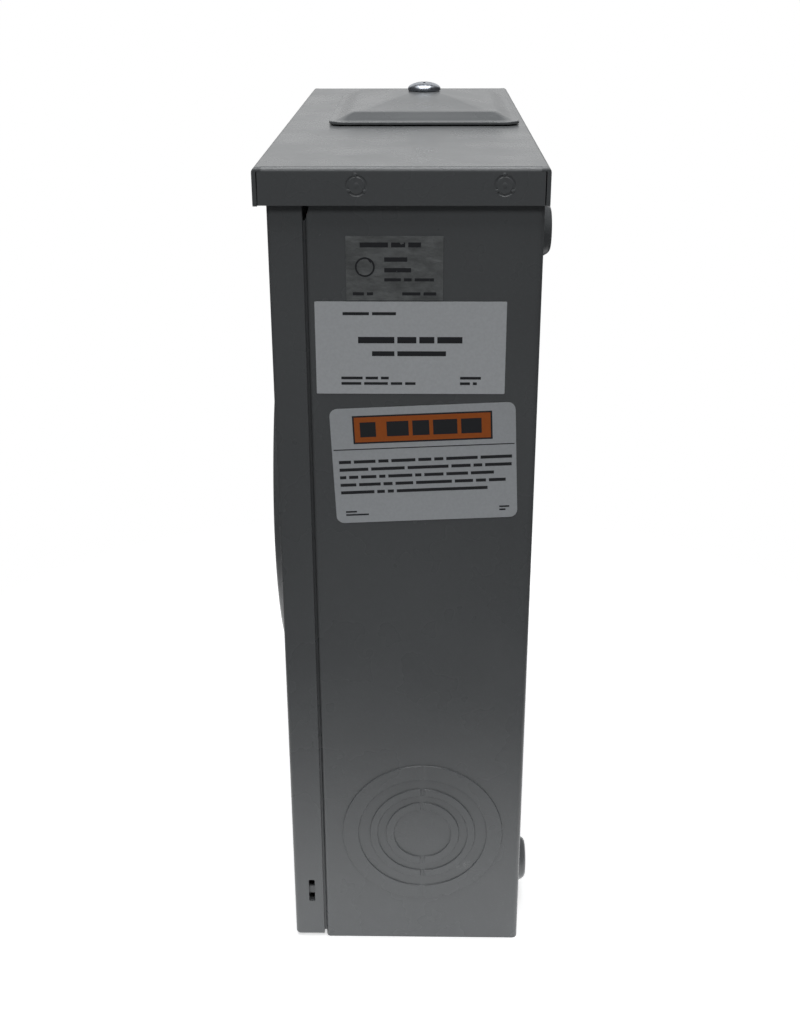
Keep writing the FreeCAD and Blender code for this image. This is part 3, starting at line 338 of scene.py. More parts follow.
def settle(thing):
    """Applies the modifiers of an object to its mesh."""
    graph = bpy.context.evaluated_depsgraph_get()
    mesh = bpy.data.meshes.new_from_object(thing.evaluated_get(graph))
    mesh.name = thing.name
    thing.modifiers.clear()
    thing.data = mesh
    return thing


def boolean(target, operation, tools):
    """Cuts with or adds other closed objects, and removes them."""
    for tool in tools:
        step = target.modifiers.new(operation, "BOOLEAN")
        step.operation, step.solver, step.object = operation, "EXACT", tool
    settle(target)
    for tool in tools:
        bpy.data.objects.remove(tool)
    clean(target)
    return target


def clean(thing):
    """Merges doubles, dissolves slivers and shades a mesh after its booleans."""
    bm = bmesh.new()
    bm.from_mesh(thing.data)
    bmesh.ops.remove_doubles(bm, verts=bm.verts, dist=CUT_WELD)
    bmesh.ops.dissolve_degenerate(bm, edges=bm.edges, dist=WELD)
    bm.to_mesh(thing.data)
    bm.free()
    soften(thing)


def place_piece(thing, body, slot, *nodes):
    """Evens a finished piece's normals, hangs it on its body and hides the CAD nodes that it replaces."""
    level(thing)
    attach(thing, body)
    if nodes:
        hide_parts(*nodes)
    return thing


# ---------------------------------------------------------------- materials

def shader(name, base, roughness, metallic=0.0):
    """A principled material, in place of a plain one of that name; returns its tree and node too."""
    plain = bpy.data.materials.get(name)
    if plain:
        plain.name = f"plain_{name}"
    material = bpy.data.materials.new(name)
    material.use_nodes = True
    tree = material.node_tree
    surface = tree.nodes["Principled BSDF"]
    surface.inputs["Base Color"].default_value = (*base, 1.0)
    surface.inputs["Roughness"].default_value = roughness
    surface.inputs["Metallic"].default_value = metallic
    material.diffuse_color = (*base, 1.0)
    return material, tree, surface


def coordinates(tree, stretch=(1, 1, 1)):
    """Object coordinates, stretched along the three axes."""
    source = tree.nodes.new("ShaderNodeTexCoord")
    mapping = tree.nodes.new("ShaderNodeMapping")
    mapping.inputs["Scale"].default_value = stretch
    tree.links.new(source.outputs["Object"], mapping.inputs["Vector"])
    return mapping.outputs["Vector"]


def noise(tree, scale, detail, roughness=0.55, stretch=(1, 1, 1)):
    """Noise on object coordinates; scale is in waves per metre."""
    node = tree.nodes.new("ShaderNodeTexNoise")
    node.inputs["Scale"].default_value = scale
    node.inputs["Detail"].default_value = detail
    node.inputs["Roughness"].default_value = roughness
    tree.links.new(coordinates(tree, stretch), node.inputs["Vector"])
    return node.outputs["Fac"]


def remap(tree, value, low, high, to_low=0.0, to_high=1.0):
    node = tree.nodes.new("ShaderNodeMapRange")
    node.inputs["From Min"].default_value = low
    node.inputs["From Max"].default_value = high
    node.inputs["To Min"].default_value = to_low
    node.inputs["To Max"].default_value = to_high
    tree.links.new(value, node.inputs["Value"])
    return node.outputs["Result"]


def combine(tree, operation, first, second):
    node = tree.nodes.new("ShaderNodeMath")
    node.operation = operation
    for socket, value in zip(node.inputs, (first, second)):
        if isinstance(value, (int, float)):
            socket.default_value = value
        else:
            tree.links.new(value, socket)
    return node.outputs["Value"]


MIX_FIRST, MIX_SECOND, MIX_RESULT = 6, 7, 2       # the Mix node's sockets for colours


def blend_colour(tree, factor, first, second):
    """Mixes two colours; each is a tuple or a socket."""
    node = tree.nodes.new("ShaderNodeMix")
    node.data_type = "RGBA"
    tree.links.new(factor, node.inputs["Factor"])
    for socket, value in ((node.inputs[MIX_FIRST], first), (node.inputs[MIX_SECOND], second)):
        if isinstance(value, tuple):
            socket.default_value = (*value, 1.0)
        else:
            tree.links.new(value, socket)
    return node.outputs[MIX_RESULT]


def bump(tree, surface, height, distance):
    """Raises the surface's shading by a height pattern; distance is in metres."""
    node = tree.nodes.new("ShaderNodeBump")
    node.inputs["Distance"].default_value = distance
    tree.links.new(height, node.inputs["Height"])
    tree.links.new(node.outputs["Normal"], surface.inputs["Normal"])


def shaded(base, factor):
    return tuple(channel * factor for channel in base)


def shades(tree, pattern, base, dark, light, low=0.0, high=1.0):
    """The base colour times dark up to light, as a pattern runs from low to high."""
    return blend_colour(tree, remap(tree, pattern, low, high), shaded(base, dark), shaded(base, light))


SPOT_CORE = 0.35                  # part of a soft spot's radius that is full


def spot(tree, place, radius):
    """1 inside a soft ball round a place, falling to 0 at its radius."""
    source = tree.nodes.new("ShaderNodeTexCoord")
    distance = tree.nodes.new("ShaderNodeVectorMath")
    distance.operation = "DISTANCE"
    distance.inputs[1].default_value = place
    tree.links.new(source.outputs["Object"], distance.inputs[0])
    return remap(tree, distance.outputs["Value"], radius * SPOT_CORE, radius, 1.0, 0.0)


# places on the right side where the enamel is rubbed: front to back, height, radius, in millimetres
RUBS = ((30.5, 43.5, 3.4), (27.0, 42.0, 2.4), (42.0, 46.5, 2.6), (20.0, 20.0, 1.2), (-28.0, 300.0, 2.0),
        (44.0, 120.0, 1.6), (-22.0, 160.0, 1.2), (36.0, 205.0, 1.2))
RUB_STRENGTH = 0.55
WAVE_SHARE = 2.2                  # how much the enamel's long waves count against its orange peel


def make_enamel():
    """Semi-gloss grey enamel: faint mottling, orange peel, hazy patches and a few rubs."""
    finish = settings().finish
    base = tuple(finish.enamel)
    material, tree, surface = shader("grey_enamel", base, roughness=0.33)
    tone = shades(tree, noise(tree, scale=14.0, detail=4.0), base, 0.90, 1.10, low=0.1, high=0.9)
    grain = remap(tree, noise(tree, scale=900.0, detail=2.0), 0.58, 0.74, 0.0, 0.35)
    tone = blend_colour(tree, grain, tone, shaded(base, 1.22))
    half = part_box("bottom_panel")[1].x
    rubs = 0.0
    for across, height, radius in RUBS:
        patch = spot(tree, (half, across * MM, height * MM), radius * MM)
        rubs = combine(tree, "MAXIMUM", rubs, patch)
    speckle = remap(tree, noise(tree, scale=1300.0, detail=3.0, roughness=0.7), 0.50, 0.60)
    rubs = combine(tree, "MULTIPLY", combine(tree, "MULTIPLY", rubs, speckle), RUB_STRENGTH)
    tone = blend_colour(tree, rubs, tone, tuple(finish.enamel_light))
    tree.links.new(tone, surface.inputs["Base Color"])
    haze = noise(tree, scale=30.0, detail=3.0)
    tree.links.new(remap(tree, haze, 0.1, 0.9, 0.20, 0.36), surface.inputs["Roughness"])
    peel = noise(tree, scale=420.0, detail=1.5)
    wave = noise(tree, scale=55.0, detail=1.0)
    height = combine(tree, "ADD", combine(tree, "MULTIPLY", wave, WAVE_SHARE), peel)
    bump(tree, surface, height, distance=0.05 * MM)
    return material


def make_plated(name, base, roughness, patches, streak):
    """A plated metal: cloudy tone, varied roughness and fine grain."""
    material, tree, surface = shader(name, base, roughness, metallic=1.0)
    tone = shades(tree, noise(tree, scale=patches, detail=4.0), base, 0.82, 1.08, low=0.3, high=0.7)
    tree.links.new(tone, surface.inputs["Base Color"])
    fine = noise(tree, scale=700.0, detail=2.0, stretch=streak)
    tree.links.new(remap(tree, fine, 0.3, 0.7, roughness * 0.75, roughness * 1.35),
                   surface.inputs["Roughness"])
    bump(tree, surface, fine, distance=0.02 * MM)
    return material


def make_spangle():
    """Galvanised sheet with its crystal pattern."""
    base = tuple(settings().finish.galvanised)
    material, tree, surface = shader("galvanised_steel", base, roughness=0.42, metallic=1.0)
    cells = tree.nodes.new("ShaderNodeTexVoronoi")
    cells.inputs["Scale"].default_value = 170.0
    tree.links.new(coordinates(tree), cells.inputs["Vector"])
    crystal = tree.nodes.new("ShaderNodeSeparateColor")
    tree.links.new(cells.outputs["Color"], crystal.inputs["Color"])
    tree.links.new(shades(tree, crystal.outputs["Red"], base, 0.80, 1.12), surface.inputs["Base Color"])
    tree.links.new(remap(tree, crystal.outputs["Green"], 0, 1, 0.30, 0.52), surface.inputs["Roughness"])
    bump(tree, surface, noise(tree, scale=500.0, detail=2.0), distance=0.02 * MM)
    return material


def make_moulded():
    """Glass-filled polyester with a pebbled skin."""
    base = tuple(settings().finish.moulding)
    material, tree, surface = shader("block_plastic", base, roughness=0.48)
    fleck = noise(tree, scale=650.0, detail=4.0, roughness=0.7)
    tone = shades(tree, fleck, base, 0.80, 1.35, low=0.42, high=0.62)
    tree.links.new(tone, surface.inputs["Base Color"])
    bump(tree, surface, fleck, distance=0.06 * MM)
    return material


def make_rubber():
    """Matt black rubber with a fine grain."""
    base = tuple(settings().finish.rubber)
    material, tree, surface = shader("gasket_rubber", base, roughness=0.75)
    cells = noise(tree, scale=1500.0, detail=3.0)
    tree.links.new(shades(tree, cells, base, 0.7, 1.6), surface.inputs["Base Color"])
    bump(tree, surface, cells, distance=0.1 * MM)
    return material


def make_dyed_screw():
    """Green dyed plate, worn in specks."""
    base = tuple(settings().finish.green)
    material, tree, surface = shader("green_screw", base, roughness=0.35, metallic=0.35)
    worn = remap(tree, noise(tree, scale=900.0, detail=3.0), 0.55, 0.68)
    tree.links.new(blend_colour(tree, worn, base, shaded(base, 2.6)), surface.inputs["Base Color"])
    bump(tree, surface, worn, distance=0.03 * MM)
    return material


def make_foil():
    """Metallised film: crinkles break its reflections."""
    base = tuple(settings().finish.foil)
    material, tree, surface = shader("label_foil", base, roughness=0.36, metallic=0.55)
    crinkle = noise(tree, scale=150.0, detail=5.0, roughness=0.65, stretch=(1, 1, 2.2))
    tone = shades(tree, crinkle, base, 0.78, 1.14, low=0.35, high=0.65)
    tree.links.new(tone, surface.inputs["Base Color"])
    tree.links.new(remap(tree, crinkle, 0.3, 0.7, 0.28, 0.50), surface.inputs["Roughness"])
    bump(tree, surface, crinkle, distance=0.35 * MM)
    return material


def make_stock(name, base, roughness=0.42):
    """Coated label stock or the ink on it."""
    material, tree, surface = shader(name, base, roughness)
    fibre = noise(tree, scale=800.0, detail=3.0)
    tone = shades(tree, fibre, base, 0.97, 1.03, low=0.35, high=0.65)
    tree.links.new(tone, surface.inputs["Base Color"])
    bump(tree, surface, noise(tree, scale=60.0, detail=2.0), distance=0.12 * MM)
    return material


def make_finishes():
    """Every material of the enclosure, by the record's slot name."""
    finish = settings().finish
    made = {
        "grey_enamel": make_enamel(),
        "galvanised_steel": make_spangle(),
        "block_plastic": make_moulded(),
        "gasket_rubber": make_rubber(),
        "green_screw": make_dyed_screw(),
        "label_foil": make_foil(),
        "label_paper": make_stock("label_paper", tuple(finish.paper)),
        "notice_paper": make_stock("notice_paper", tuple(finish.notice), 0.36),
        "panel_orange": make_stock("panel_orange", tuple(finish.panel)),
        "label_ink": make_stock("label_ink", tuple(finish.ink), 0.5),
    }
    # colour, roughness, size of the cloudy patches and stretch of the grain
    plated = {
        "zinc_plate": (finish.zinc, 0.30, 260.0, (1, 1, 1)),
        "tinned_copper": (finish.tin, 0.34, 120.0, (1, 1, 6)),
        "lug_aluminium": (finish.aluminium, 0.38, 90.0, (1, 1, 0.15)),
        "spring_steel": (finish.spring, 0.30, 140.0, (1, 1, 4)),
    }
    for name, (base, roughness, patches, streak) in plated.items():
        made[name] = make_plated(name, tuple(base), roughness, patches, streak)
    return made


def finish_of(slot):
    return bpy.data.materials[slot]


# ---------------------------------------------------------------- places, from the frame

HOOD_LOW, HOOD_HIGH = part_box("top_hood")
COVER_LOW, COVER_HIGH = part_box("front_cover")
CASE_HALF = COVER_HIGH.x
CASE_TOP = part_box("case_shell")[1].z
CASE_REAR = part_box("rail_screws")[1].y + SHEET * MM
PAD_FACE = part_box("case_shell")[1].y
COVER_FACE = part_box("hasp_bracket")[1].y
GASKET_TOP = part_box("hub_plate_gasket")[1].z
SCREW_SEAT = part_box("hub_closing_plate")[1].z
SIDES = (-1, 1)


def middle(node):
    low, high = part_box(node)
    return (low + high) / 2


def rounded_rectangle(centre, half, corner, steps=8):
    """Closed outline of a rectangle with round corners."""
    (x, y), (wide, tall) = centre, half
    points = [(x, y - tall), (x + wide, y - tall), (x + wide, y + tall), (x - wide, y + tall),
              (x - wide, y - tall), (x, y - tall)]
    return fillet_path(points, (corner,) * 4, steps)[:-1]


# ---------------------------------------------------------------- hood

# in millimetres
CLINCHES = (-17.0, 39.6)          # front to back
CLINCH_HEIGHT = 361.6
CLINCH_RING = (3.6, 0.5)          # radius of the groove and how far its section's middle stands out
CLINCH_GROOVE = 0.8               # radius of the groove's section
CLINCH_STEPS = (14, 48)           # divisions of the groove's section, and round the groove
CLINCH_EYE = (1.1, 0.14)          # radius and rise
CLINCH_BUMP = (0.7, 0.2)
CLINCH_BUMPS = ((95, 4.1), (215, 3.6), (325, 3.8))     # angle in degrees and distance of the small bumps
SKIRT_LAP = 1.5                   # how far an end skirt's fold runs on under the top, past its bend
SKIRT_CORNERS = (1.0, 1.4, 1.4, 1.0)
HUB_OPENING = (52, 32)            # half length and half width
HUB_CORNER = 16


def dome(name, centre, size, sign, steps=5):
    """A low round bump on a side wall; size is its radius and rise in millimetres."""
    radius, rise = (value * MM for value in size)
    turns = [math.pi / 2 * step / steps for step in range(steps)]
    section = [(radius * math.cos(turn), sign * rise * math.sin(turn)) for turn in turns]
    section += [(0.0, sign * rise), (0.0, -sign * rise), (radius, -sign * rise)]
    return lathe(name, section, "x", centre, 4 * steps)


def make_clinches(hood, half):
    """Round press joints on the side skirts: a shallow ring groove with bumps about it."""
    grooves, bumps = [], []
    section_steps, steps = CLINCH_STEPS
    for sign in SIDES:
        section = [(u * MM, sign * v * MM) for u, v in circle(CLINCH_GROOVE, section_steps, CLINCH_RING)]
        for across in CLINCHES:
            centre = Vector((sign * half, across * MM, CLINCH_HEIGHT * MM))
            grooves.append(lathe("clinch_groove", section, "x", centre, steps))
            bumps.append(dome("clinch_eye", centre, CLINCH_EYE, sign))
            for degrees, reach in CLINCH_BUMPS:
                turn = math.radians(degrees)
                shift = Vector((0, math.cos(turn), math.sin(turn))) * reach * MM
                bumps.append(dome("clinch_bump", centre + shift, CLINCH_BUMP, sign))
    boolean(hood, "DIFFERENCE", grooves)
    boolean(hood, "UNION", bumps)


def make_hood(enamel):
    """The folded hood: a trough with a skirt at each end, open at the corners."""
    sizes = settings().sheet
    low, high = HOOD_LOW, HOOD_HIGH
    sheet, bend, half = sizes.hood_sheet, sizes.hood_bend, high.x
    side_low = low.z + sizes.skirt_step
    across = [(half, side_low), (half, high.z), (-half, high.z), (-half, side_low)]
    trough = bent_sheet(across, (bend, bend), sheet)
    inset = sheet + sizes.hood_seam
    hood = prism("hood", trough, "y", low.y + inset, high.y - inset, enamel)
    ends = []
    lap = bend + SKIRT_LAP * MM
    for name, face, way in (("front", low.y, 1), ("rear", high.y, -1)):
        fold = [(face + way * lap, high.z), (face, high.z), (face, low.z)]
        fold = fold if way > 0 else fold[::-1]
        skirt = prism(f"hood_{name}", bent_sheet(fold, (bend,), sheet), "x", -half, half, enamel)
        limit = [(0, low.z), (half, low.z), (half, high.z), (-half, high.z), (-half, low.z), (0, low.z)]
        rounds = fillet_path(limit, [radius * MM for radius in SKIRT_CORNERS])[:-1]
        trim = prism("hood_trim", rounds, "y", face - REACH, face + REACH)
        ends.append(boolean(skirt, "INTERSECT", [trim]))
    boolean(hood, "UNION", ends)
    gasket = middle("hub_plate_gasket")
    outline = rounded_rectangle(gasket.xy, [value * MM for value in HUB_OPENING], HUB_CORNER * MM)
    opening = prism("hub_opening", outline, "z", high.z - REACH, high.z + REACH)
    boolean(hood, "DIFFERENCE", [opening])
    make_clinches(hood, half)
    hood.name = "hood"
    return place_piece(hood, "case", "grey_enamel", "top_hood")


# ---------------------------------------------------------------- case

# in millimetres
WALL_FRONT = -37.1                # front edge of the side walls and of the cover's lips
LIP_FRONT = -50.0
LIP_HEIGHTS = (4.0, 356.0)
LIP_EDGE = 0.4                    # radius of the lip's free edge
PADS = ((-114.3, 20.3), (114.3, 20.3), (-114.3, 337.8), (114.3, 337.8))
PAD_RIM, PAD_CUT, PAD_BASE, PAD_TIP, PAD_HOLE = 14.4, 13.2, 12.4, 9.3, 4.0       # radii
PAD_BENDS = (2.4, 3.0)
KNOCKOUT_AT = (9.3, 61.5)
KNOCKOUT_MARGIN = 2.5             # flat wall between the largest ring and the disc's rim
WINDOWS = ((21.1, 24.7), (28.8, 33.6))
SLOT_Y, SLOT_HALF = -43.75, 1.45
# points across a ring's edge, in widths of the slope
EDGE_STOPS = (0.0, 0.16, 0.32, 0.56, 0.8)
TIE_START, TIE_SOFT = 0.35, 0.3   # where a ring breaks off beside a tie, in widths of the tie
PIP_RISE, PIP_WIDE = 0.30, 1.1    # a tie's small bump: its rise in rises, its width in slopes


def smooth(value):
    """0 below 0, 1 above 1, with soft ends."""
    value = min(max(value, 0.0), 1.0)
    return value * value * (3 - 2 * value)


def relief(radius, turn, rings, rise, slope, tie):
    """Height of the stamped knockout at a place given by its radius and angle."""
    height = 0.0
    for outer, inner in rings:
        height += smooth((outer + slope / 2 - radius) / slope) * smooth((radius - inner + slope / 2) / slope)
    off_tie = radius * abs(math.cos(turn))
    soft = tie * TIE_SOFT
    broken = smooth((off_tie - tie * TIE_START) / soft)
    nearest = min(abs(radius - edge) for pair in rings for edge in pair)
    pip = PIP_RISE * smooth(1 - off_tie / soft) * smooth(1 - nearest / (slope * PIP_WIDE))
    return rise * (height * broken + pip)


def make_relief(name, sign, enamel):
    """A disc of the side wall with the concentric knockouts pressed into it."""
    sizes = settings().knockout
    radii = [getattr(sizes, f"radius_{letter}") for letter in "abcdef"]
    rings = list(zip(radii[::2], radii[1::2]))
    stops = sorted({0.0, radii[0] + KNOCKOUT_MARGIN * MM, *(radii[5] * step / 4 for step in (1, 2, 3))}
                   | {radius + way * stop * sizes.slope
                      for radius in radii for stop in EDGE_STOPS for way in (-1, 1)})
    sheet, steps = settings().sheet.sheet, sizes.steps
    centre = Vector((sign * CASE_HALF, KNOCKOUT_AT[0] * MM, KNOCKOUT_AT[1] * MM))
    bm = bmesh.new()

    def ring_at(radius, lift):
        """A row of corners round the disc; lift gives each one's height from its angle."""
        turns = [math.tau * i / steps for i in range(steps)] if radius else [0.0]
        row = [bm.verts.new(centre + Vector((sign * lift(turn), radius * math.cos(turn),
                                             radius * math.sin(turn)))) for turn in turns]
        return row if radius else row * steps

    rows = [ring_at(stop, lambda turn, stop=stop: relief(stop, turn, rings, sizes.rise, sizes.slope,
                                                         sizes.tie)) for stop in stops]
    back = [ring_at(stop, lambda turn: -sheet) for stop in (stops[-1], 0.0)]
    bridge(bm, [*zip(rows, rows[1:]), back])
    return mesh_object(name, bm, enamel)


def knockout_rim():
    """Outline of the disc of side wall that holds the knockouts."""
    sizes = settings().knockout
    return circle(sizes.radius_a + KNOCKOUT_MARGIN * MM, sizes.steps,
                  [value * MM for value in KNOCKOUT_AT])


RIM_TOLERANCE = 1e-5              # how far off the rim, in metres, a corner of the hole's wall may lie


def weld_reliefs(case, discs):
    """Sews the knockout discs into the round holes of the side walls."""
    rim = [Vector(point) for point in knockout_rim()]
    centre = Vector(value * MM for value in KNOCKOUT_AT)
    radius = (rim[0] - centre).length
    bm = bmesh.new()
    bm.from_mesh(case.data)
    walls = [face for face in bm.faces if all(
        abs((Vector((v.co.y, v.co.z)) - centre).length - radius) < RIM_TOLERANCE for v in face.verts)]
    bmesh.ops.delete(bm, geom=walls, context="FACES_ONLY")
    for disc in discs:
        bm.from_mesh(disc.data)
        bpy.data.objects.remove(disc)
    bmesh.ops.remove_doubles(bm, verts=bm.verts, dist=SEAM_WELD)
    bmesh.ops.recalc_face_normals(bm, faces=bm.faces)
    bm.to_mesh(case.data)
    bm.free()
    soften(case)


def relief_outline(sizes):
    """Side view of what is cut off the wall's front corner, from 2 mm inside the hood downwards."""
    wall, top, drop = WALL_FRONT * MM, HOOD_LOW.z + 2 * MM, sizes.corner_relief
    corner = [(wall - MARGIN, top + 3 * MM), (wall - MARGIN, top - drop * 1.6), (wall, top - drop * 1.5),
              (wall + 1.6 * MM, top - 2.5 * MM), (wall + 1.7 * MM, top + 3 * MM)]
    return fillet_path(corner, (0, 0, 3 * MM))


def case_cutters(sizes, lip):
    """What is cut from the bent case: lip ends, slot windows, front corners, knockout discs and pads."""
    wall, front, sheet = WALL_FRONT * MM, LIP_FRONT * MM, sizes.sheet
    foot, head = (height * MM for height in LIP_HEIGHTS)
    behind = wall + sheet + MARGIN
    cuts = []
    for sign in SIDES:
        inner, outer = on_side(sign, lip - sheet - MARGIN, lip + 0.2 * MM)
        cuts.append(block("lip_foot", (inner, front - MARGIN, -MARGIN), (outer, wall, foot)))
        cuts.append(block("lip_head", (inner, front - MARGIN, head), (outer, behind, CASE_TOP + MARGIN)))
        for low, high in WINDOWS:
            cuts.append(block("lip_window", (inner, (SLOT_Y - SLOT_HALF) * MM, low * MM),
                              (outer, (SLOT_Y + SLOT_HALF) * MM, high * MM)))
        cuts.append(prism("corner_relief", relief_outline(sizes), "x",
                          *on_side(sign, CASE_HALF + MARGIN, lip - sheet - MARGIN)))
        cuts.append(prism("knockout_hole", knockout_rim(), "x",
                          *on_side(sign, CASE_HALF + MARGIN, CASE_HALF - 4 * MM)))
    for x, z in PADS:
        cuts.append(rod("pad_hole", PAD_CUT * MM, "y", CASE_REAR - REACH, CASE_REAR + REACH,
                        (x * MM, 0, z * MM), ROUND))
    return cuts


def make_case(enamel):
    """The case: back and sides bent from one sheet, with drawn pads and pressed knockouts."""
    sizes = settings().sheet
    lip = CASE_HALF - sizes.joggle
    wall, front = WALL_FRONT * MM, LIP_FRONT * MM
    # from the left lip round the back to the right lip, outer face first
    left = [(-lip, front), (-lip, wall), (-CASE_HALF, wall), (-CASE_HALF, CASE_REAR)]
    path = left + [(-x, y) for x, y in left[::-1]]
    bends = [LIP_EDGE * MM, sizes.joggle_bend, sizes.case_bend]
    case = prism("case", bent_sheet(path, bends + bends[::-1], -sizes.sheet), "z", 0.0, CASE_TOP, enamel)
    boolean(case, "DIFFERENCE", case_cutters(sizes, lip))
    face = [(PAD_RIM * MM, CASE_REAR), (PAD_BASE * MM, CASE_REAR), (PAD_TIP * MM, PAD_FACE),
            (PAD_HOLE * MM, PAD_FACE)]
    section = bent_sheet(face, [radius * MM for radius in PAD_BENDS], sizes.sheet, 8)
    boolean(case, "UNION", [lathe("pad", section, "y", (x * MM, 0, z * MM), ROUND, enamel)
                            for x, z in PADS])
    weld_reliefs(case, [make_relief("knockout_relief", sign, enamel) for sign in SIDES])
    case.name = "case"
    return place_piece(case, "case", "grey_enamel", "case_shell")


# ---------------------------------------------------------------- cover

# in millimetres
STAPLE_SLOT = (2.6, 12.5, 25.5)   # half width, low and high
FLANGE_SLOT = (21.1, 33.6)
FLANGE_SLOT_CORNER = 0.5
RING_CUT, RING_FLANGE = 1.2, 2.5  # how far the hole and the ring's flange reach past the ring's base
RING_LIP_BEND, RING_BASE_BEND = 1.8, 1.5


def make_pan(low, high, face, bend, sheet, enamel):
    """A tray of bent sheet, open at the back."""
    bm = bmesh.new()
    bmesh.ops.create_cube(bm, size=1.0)
    size = Vector((high.x - low.x, high.y - face, high.z - low.z))
    centre = Vector(((low.x + high.x) / 2, (face + high.y) / 2, (low.z + high.z) / 2))
    for vert in bm.verts:
        vert.co = Vector(a * b for a, b in zip(vert.co, size)) + centre
    back = [f for f in bm.faces if f.normal.y > 0.9]
    bmesh.ops.delete(bm, geom=back, context="FACES_ONLY")
    folds = [e for e in bm.edges if not all(abs(v.co.y - high.y) < 1e-6 for v in e.verts)]
    bmesh.ops.bevel(bm, geom=folds, offset=bend, offset_type="OFFSET", segments=6, profile=0.5,
                    affect="EDGES")
    pan = mesh_object("cover", bm, enamel)
    wall = pan.modifiers.new("sheet", "SOLIDIFY")
    wall.thickness, wall.offset, wall.use_even_offset = sheet, -1.0, True
    return settle(pan)


def make_cover(enamel):
    """The front cover: a pan with the drawn meter ring, the staple's slot and two flange slots."""
    sizes, sheet = settings().cover, settings().sheet.sheet
    centre = (0, 0, sizes.meter_height)
    cover = make_pan(COVER_LOW, COVER_HIGH, COVER_FACE, settings().sheet.cover_bend, sheet, enamel)
    slot_half, slot_low, slot_high = (value * MM for value in STAPLE_SLOT)
    cuts = [rod("ring_hole", sizes.ring_base + RING_CUT * MM, "y", COVER_FACE - MARGIN,
                COVER_FACE + 4 * MM, centre, BIG_ROUND),
            block("staple_slot", (-slot_half, COVER_FACE - MARGIN, slot_low),
                  (slot_half, COVER_FACE + 3 * MM, slot_high))]
    low, high = (height * MM for height in FLANGE_SLOT)
    slot = rounded_rectangle((SLOT_Y * MM, (low + high) / 2), (SLOT_HALF * MM, (high - low) / 2),
                             FLANGE_SLOT_CORNER * MM)
    for sign in SIDES:
        cuts.append(prism("flange_slot", slot, "x", *on_side(sign, CASE_HALF - 3 * MM, CASE_HALF + MARGIN)))
    boolean(cover, "DIFFERENCE", cuts)
    front = COVER_LOW.y
    face = [(sizes.hole, front + sizes.ring_return), (sizes.hole, front), (sizes.ring_face, front),
            (sizes.ring_base, COVER_FACE), (sizes.ring_base + RING_FLANGE * MM, COVER_FACE)]
    section = bent_sheet(face, (RING_LIP_BEND * MM, sizes.ring_round, RING_BASE_BEND * MM), sheet, 8)
    boolean(cover, "UNION", [lathe("meter_ring", section, "y", centre, BIG_ROUND, enamel)])
    cover.name = "cover_pan"
    return place_piece(cover, "cover", "grey_enamel", "front_cover")


# ---------------------------------------------------------------- hub closing plate and its screw

PLATE_EDGE = 0.25                 # rounding of the plate's edge, in millimetres
PLATE_CORNER = 2.0                # least corner radius of the bevel's contours, in millimetres
CORNER_SHRINK = 0.45              # how much of its inset a contour's corner loses
CROWN_CORNER = 0.5                # corner radius of the crown's foot, in the plate's corner radii
STRAIGHT_BEVEL = 0.75             # part of the bevel's rise that runs straight; the rest is eased
BEVEL_STEPS, CROWN_STEPS = 8, 12


def plate_ring(half, corner, round_radius=0.0, blend=0.0):
    """One contour of the closing plate, eased from a rounded rectangle to a circle."""
    outline = rounded_rectangle((0, 0), half, corner, 7)
    ring = []
    for point in outline:
        turn = math.atan2(point.y / half[1], point.x / half[0])
        target = Vector((math.cos(turn), math.sin(turn))) * round_radius
        ring.append(point.lerp(target, blend))
    return ring


def make_hub_plate(enamel):
    """The closing plate: flat lip, bevelled step and a crown that rises to the screw's hole."""
    sizes = settings().hub
    centre = middle("hub_closing_plate")
    top, edge, knee = GASKET_TOP + sizes.gauge, PLATE_EDGE * MM, sizes.lip + sizes.bevel
    bm = bmesh.new()

    def corners(ring, rise_at):
        """A row of corners over a contour; rise_at gives each one's height over the plate's lip."""
        return [bm.verts.new((centre.x + p.x, centre.y + p.y, top + rise_at(p))) for p in ring]

    profile = [(0.0, -sizes.gauge), (0.0, -edge), (edge, 0.0), (sizes.lip, 0.0)]
    for step in range(1, BEVEL_STEPS + 1):
        part = step / BEVEL_STEPS
        eased = STRAIGHT_BEVEL * part + (1 - STRAIGHT_BEVEL) * smooth(part)
        profile.append((sizes.lip + sizes.bevel * part, sizes.step * eased))
    rows = []
    for inset, rise in profile:
        half = (sizes.half_long - inset, sizes.half_wide - inset)
        ring = plate_ring(half, max(sizes.corner - inset * CORNER_SHRINK, PLATE_CORNER * MM))
        rows.append(corners(ring, lambda p: rise))
    half = (sizes.half_long - knee, sizes.half_wide - knee)
    for step in range(1, CROWN_STEPS + 1):
        ring = plate_ring(half, sizes.corner * CROWN_CORNER, sizes.hole, step / CROWN_STEPS)
        rows.append(corners(ring, lambda p: sizes.step + sizes.crown
                            * (1 - (p.x / half[0]) ** 2) * (1 - (p.y / half[1]) ** 2)))
    # underside, a sheet's thickness below, from the screw hole back to the edge
    for row in rows[:2:-1]:
        rows.append([bm.verts.new(v.co - Vector((0, 0, sizes.gauge))) for v in row])
    bridge(bm, zip(rows, rows[1:] + rows[:1]))
    return place_piece(mesh_object("hub_plate", bm, enamel), "case", "grey_enamel", "hub_closing_plate")


# the closing screw, in millimetres
HEAD_RIM, HEAD_EDGE = 0.9, 0.3    # height of the head's straight rim and of the chamfer under it
SHANK_TIP = (0.6, 1.2)            # how much narrower the tip is, and how long
CROSS = ((3.6, 0.55), (0.55, 3.6))        # half lengths and half widths of the slots
CROSS_DEPTH = 1.2
HEAD_STEPS = 12


